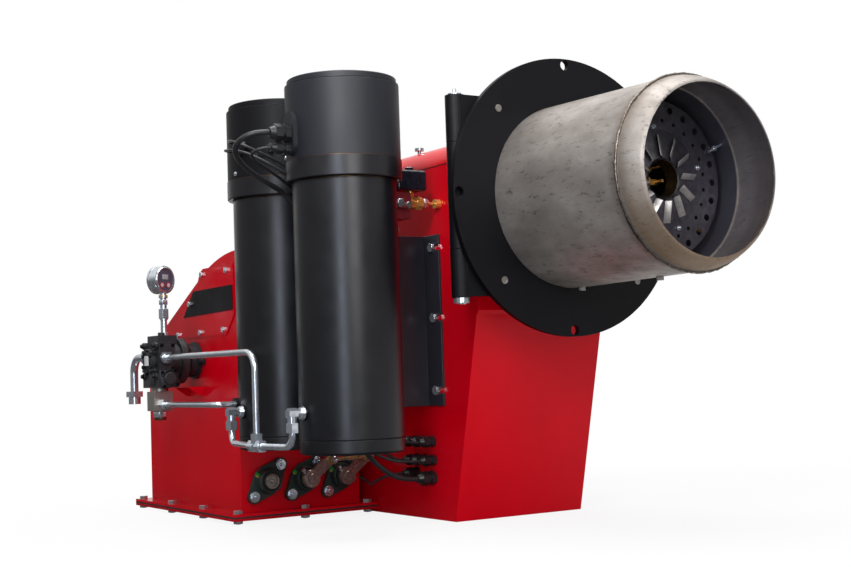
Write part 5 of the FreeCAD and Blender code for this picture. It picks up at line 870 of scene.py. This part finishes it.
# Cables: thickness, node and control points in millimetres, on the same routes as the solids
cableRoutes = {
    "frontPowerCable": (11.5, "heater_cables", [
        (-638.8, 169, 130), (-664, 169.5, 129), (-688, 184, 120), (-697, 211, 105), (-681, 238, 86),
        (-645, 260, 64), (-594, 278, 44), (-540, 293, 22), (-494, 296, -22), (-462, 293, -85),
        (-449, 292, -160), (-453, 295, -240), (-450, 292, -325), (-436, 289, -405),
        (-402, 298.1, -476.6), (-349, 320, -546), (-291, 316, -596), (-250, 313.5, -609),
        (-220.3, 313, -610)]),
    "frontSensorCable": (6.5, "heater_cables", [
        (-634.8, 169, 98), (-650, 170, 97.5), (-664, 180, 93), (-667, 198, 87), (-650, 219, 80),
        (-616, 242, 70), (-572, 268, 56), (-524, 292, 34), (-482, 303, -6), (-452, 303, -58),
        (-436, 299, -122), (-433, 297, -200), (-437, 299, -280), (-430, 300, -360), (-412, 302, -428),
        (-380, 325.7, -493.5), (-331, 331, -543), (-280, 314, -567), (-248, 308.5, -569),
        (-216.3, 308, -570)]),
    "rearPowerCable": (6.5, "heater_cables", [
        (-587.8, 449.4, 134), (-603, 445.5, 134), (-616, 435, 133), (-622.2, 415, 130),
        (-624.2, 378, 126), (-607, 340.1, 114), (-572, 315.5, 92), (-524, 301, 62), (-476, 300, 22),
        (-440, 301, -32), (-423, 300, -98), (-420, 298, -175), (-424, 300, -255), (-417, 300, -335),
        (-400, 302, -405), (-366, 310.5, -465.6), (-322, 348, -520), (-276, 349, -554),
        (-246, 345.5, -569), (-216.3, 345, -570)]),
    "rearSensorCable": (6.5, "heater_cables", [
        (-579.8, 426.3, 147), (-611.3, 408.9, 146.8), (-634.2, 378, 144), (-646.5, 334.4, 137),
        (-633.1, 309.6, 127), (-599.9, 303.2, 112), (-555.9, 302.1, 94), (-504, 298, 68),
        (-456, 300, 30), (-424, 301, -26), (-409, 300, -96), (-407, 297, -175), (-411, 299, -255),
        (-402, 299, -335), (-383, 302, -400), (-348, 307.3, -455), (-308, 340, -497.9),
        (-268, 348, -522), (-242, 345.5, -527), (-216.3, 345, -528)]),
    "rearLimitCable": (6.5, "heater_cables", [
        (-536.2, 372.9, 136), (-553.2, 349.3, 136), (-556, 326, 128), (-545, 307, 115), (-522, 299, 98),
        (-492, 298, 77), (-458, 301, 48), (-418, 303, 0), (-399, 300, -70), (-395, 297, -150),
        (-399, 299, -230), (-391, 297, -305), (-376, 295, -375), (-345, 289, -435),
        (-303, 301.3, -487.9), (-266, 311, -516), (-242, 309.5, -527), (-216.3, 309, -528)]),
    "coilCable": (6.5, "control_cables", [
        (-216.3, 379, -528), (-238, 379.5, -527), (-258, 382, -514), (-268, 380, -486), (-268, 366, -436),
        (-264, 350, -370), (-268, 353, -290), (-264, 350, -210), (-267, 353, -130), (-264, 356, -66),
        (-261, 362, -20), (-257, 364, 16), (-254, 354, 44), (-253, 330, 56), (-253, 300.3, 56)]),
    "servoCable": (6.5, "control_cables", [
        (-216.3, 381, -600), (-234, 381, -600.4), (-251, 387, -603), (-261, 404, -609),
        (-262, 428, -617), (-255, 458, -625), (-238, 498, -630), (-214, 545, -629), (-196, 608, -622),
        (-190, 680, -613), (-193, 760, -606), (-190, 845, -602), (-194, 930, -605), (-190, 1015, -602),
        (-192, 1085, -600), (-194, 1145, -597), (-199, 1190, -594), (-212, 1222, -592),
        (-234, 1243, -590.6), (-264, 1252, -590), (-288, 1254, -590), (-308.7, 1254, -590)]),
}
for cableName, (diameter, cableNode, route) in cableRoutes.items():
    deselectAll()
    line = bpy.data.curves.new(cableName, "CURVE")
    line.dimensions = "3D"
    spline = line.splines.new("NURBS")
    spline.points.add(len(route) - 1)
    for point, (x, y, z) in zip(spline.points, route):
        point.co = (x / 1000, y / 1000, z / 1000, 1)
    spline.order_u = 3
    spline.use_endpoint_u = True
    line.resolution_u = 8
    measured = bpy.data.objects.new(cableName + "Line", line)
    lineMesh = bpy.data.meshes.new_from_object(measured)
    bpy.data.objects.remove(measured)
    line.bevel_depth = diameter / 2000
    line.bevel_resolution = 5
    line.use_fill_caps = True
    cable = bpy.data.objects.new(cableName, line)
    bpy.context.scene.collection.objects.link(cable)
    line.materials.append(finishes["sheath"])
    carry(cable, cableNode)

# Floor: white to the camera except for a soft shadow under the object, and dim in mirror images on the left
floorLevel = cadBox[0].z - 0.0006
deselectAll()
bpy.ops.mesh.primitive_plane_add(size=1, location=(0, 0, floorLevel))
floor = bpy.context.object
floor.name = "studioFloor"
floor.scale = (30, 30, 1)
floorPaint, floorTree, floorPlace = newMaterial("paleFloor")
rays = addNode(floorTree, "ShaderNodeLightPath")
seen = addNode(floorTree, "ShaderNodeMath", {"operation": "MAXIMUM"},
               {0: rays.outputs["Is Camera Ray"], 1: rays.outputs["Is Transmission Ray"]})
flat = addNode(floorTree, "ShaderNodeVectorMath", {"operation": "LENGTH"}, {0: floorPlace})
outward = addNode(
    floorTree, "ShaderNodeMapRange",
    {"From Min": 0.02, "From Max": 0.06, "To Min": 0.86, "To Max": 1.0}, {"Value": flat.outputs["Value"]}
)
lift = addNode(
    floorTree, "ShaderNodeMath", {"operation": "MULTIPLY"}, {0: seen.outputs[0], 1: outward.outputs[0]}
)
matt = addNode(floorTree, "ShaderNodeBsdfDiffuse", {"Color": (0.8, 0.8, 0.8, 1)})
glow = addNode(floorTree, "ShaderNodeEmission", {"Color": (1, 1, 1, 1), "Strength": 1})
directly = addNode(
    floorTree, "ShaderNodeMixShader", links={0: lift.outputs[0], 1: matt.outputs[0], 2: glow.outputs[0]}
)
floorAxes = addNode(floorTree, "ShaderNodeSeparateXYZ", links={"Vector": floorPlace})
mirrorTone = addNode(
    floorTree, "ShaderNodeMapRange",
    {"From Min": -0.004, "From Max": 0.016, "To Min": 0.06, "To Max": 0.8}, {"Value": floorAxes.outputs["X"]}
)
mirrorGlow = addNode(
    floorTree, "ShaderNodeEmission", {"Color": (1, 1, 1, 1)}, {"Strength": mirrorTone.outputs[0]}
)
mixed = addNode(floorTree, "ShaderNodeMixShader",
                links={0: rays.outputs["Is Glossy Ray"], 1: directly.outputs[0], 2: mirrorGlow.outputs[0]})
finishMaterial(floorTree, mixed)
floor.data.materials.append(floorPaint)

# Sky: white behind the object and overhead, dim elsewhere, so that glossy pieces keep dark sides
sky = bpy.data.worlds.new("studioSky")
bpy.context.scene.world = sky
sky.use_nodes = True
skyTree = sky.node_tree
skyTree.nodes.clear()
rays = addNode(skyTree, "ShaderNodeLightPath")
through = addNode(skyTree, "ShaderNodeMath", {"operation": "MAXIMUM"},
                  {0: rays.outputs["Is Camera Ray"], 1: rays.outputs["Is Transmission Ray"]})
direction = addNode(skyTree, "ShaderNodeTexCoord")
levelAhead = camera["ahead"][:2] + (0.0,)
behind = addNode(skyTree, "ShaderNodeVectorMath", {"operation": "DOT_PRODUCT", 1: levelAhead},
                 {0: direction.outputs["Generated"]})
backdrop = addNode(
    skyTree, "ShaderNodeMapRange",
    {"From Min": 0.55, "From Max": 0.95, "To Min": 0.2, "To Max": 1.0}, {"Value": behind.outputs["Value"]}
)
heights = addNode(skyTree, "ShaderNodeSeparateXYZ", links={"Vector": direction.outputs["Generated"]})
ceiling = addNode(
    skyTree, "ShaderNodeMapRange",
    {"From Min": 0.1, "From Max": 0.5, "To Min": 0.2, "To Max": 0.9}, {"Value": heights.outputs["Z"]}
)
around = addNode(
    skyTree, "ShaderNodeMath", {"operation": "MAXIMUM"}, {0: backdrop.outputs[0], 1: ceiling.outputs[0]}
)
mirrored = addNode(skyTree, "ShaderNodeMath", {"operation": "MULTIPLY"},
                   {0: rays.outputs["Is Glossy Ray"], 1: around.outputs[0]})
bright = addNode(
    skyTree, "ShaderNodeMath", {"operation": "MAXIMUM"}, {0: through.outputs[0], 1: mirrored.outputs[0]}
)
fill = addNode(
    skyTree, "ShaderNodeMath", {"operation": "MULTIPLY", 1: 0.33}, {0: rays.outputs["Is Diffuse Ray"]}
)
strength = addNode(
    skyTree, "ShaderNodeMath", {"operation": "MAXIMUM"}, {0: bright.outputs[0], 1: fill.outputs[0]}
)
background = addNode(
    skyTree, "ShaderNodeBackground", {"Color": (1, 1, 1, 1)}, {"Strength": strength.outputs[0]}
)
addNode(skyTree, "ShaderNodeOutputWorld", links={"Surface": background.outputs[0]})

# Softboxes: place and target in metres, width and height, watts, tint
softboxes = {
    "keyBox": ((-2.3, -2.1, 1.6), (-0.2, 0.2, -0.2), (0.9, 1.0), 40, (1, 1, 1)),
    "stripBox": ((-2.05, -1.62, 0.0), (-0.466, 0.169, -0.15), (0.45, 1.9), 18, (0.74, 0.83, 1)),
    "frontBox": ((-1.1, -2.9, 0.5), (-0.15, 0.1, -0.1), (1.2, 1.2), 22, (1, 1, 1)),
    "leftBox": ((-3.4, -0.4, 1.5), (-0.5, 0.5, -0.3), (1.0, 1.4), 6, (1, 1, 1)),
    "noseBox": ((-0.5, -3.2, 1.9), (0, -0.3, 0), (1.0, 1.0), 21, (1, 1, 1)),
    "overhead": ((-0.2, 0.2, 2.6), (-0.1, 0.3, 0), (2.6, 2.6), 90, (1, 1, 1)),
}
for boxName, (place, target, (width, height), power, tint) in softboxes.items():
    bpy.ops.object.light_add(type="AREA", location=place)
    lamp = bpy.context.object
    lamp.name = boxName
    lamp.data.shape = "RECTANGLE"
    lamp.data.size = width
    lamp.data.size_y = height
    lamp.data.energy = power
    lamp.data.color = tint
    aim = Vector(target) - Vector(place)
    lamp.rotation_mode = "QUATERNION"
    lamp.rotation_quaternion = aim.to_track_quat("-Z", "Y")
# A narrow lamp over the caps reaches the wall behind the vessels
bpy.ops.object.light_add(type="SPOT", location=(-1.6, -1.2, 1.2))
wallLamp = bpy.context.object
wallLamp.name = "wallLamp"
wallLamp.data.energy = 110
wallLamp.data.spot_size = math.radians(17)
wallLamp.data.spot_blend = 0.8
wallLamp.data.shadow_soft_size = 0.12
wallLamp.rotation_mode = "QUATERNION"
wallLamp.rotation_quaternion = Vector((1.4, 1.49, -1.14)).to_track_quat("-Z", "Y")
bpy.context.scene.view_settings.view_transform = "Standard"

print("scene complete")
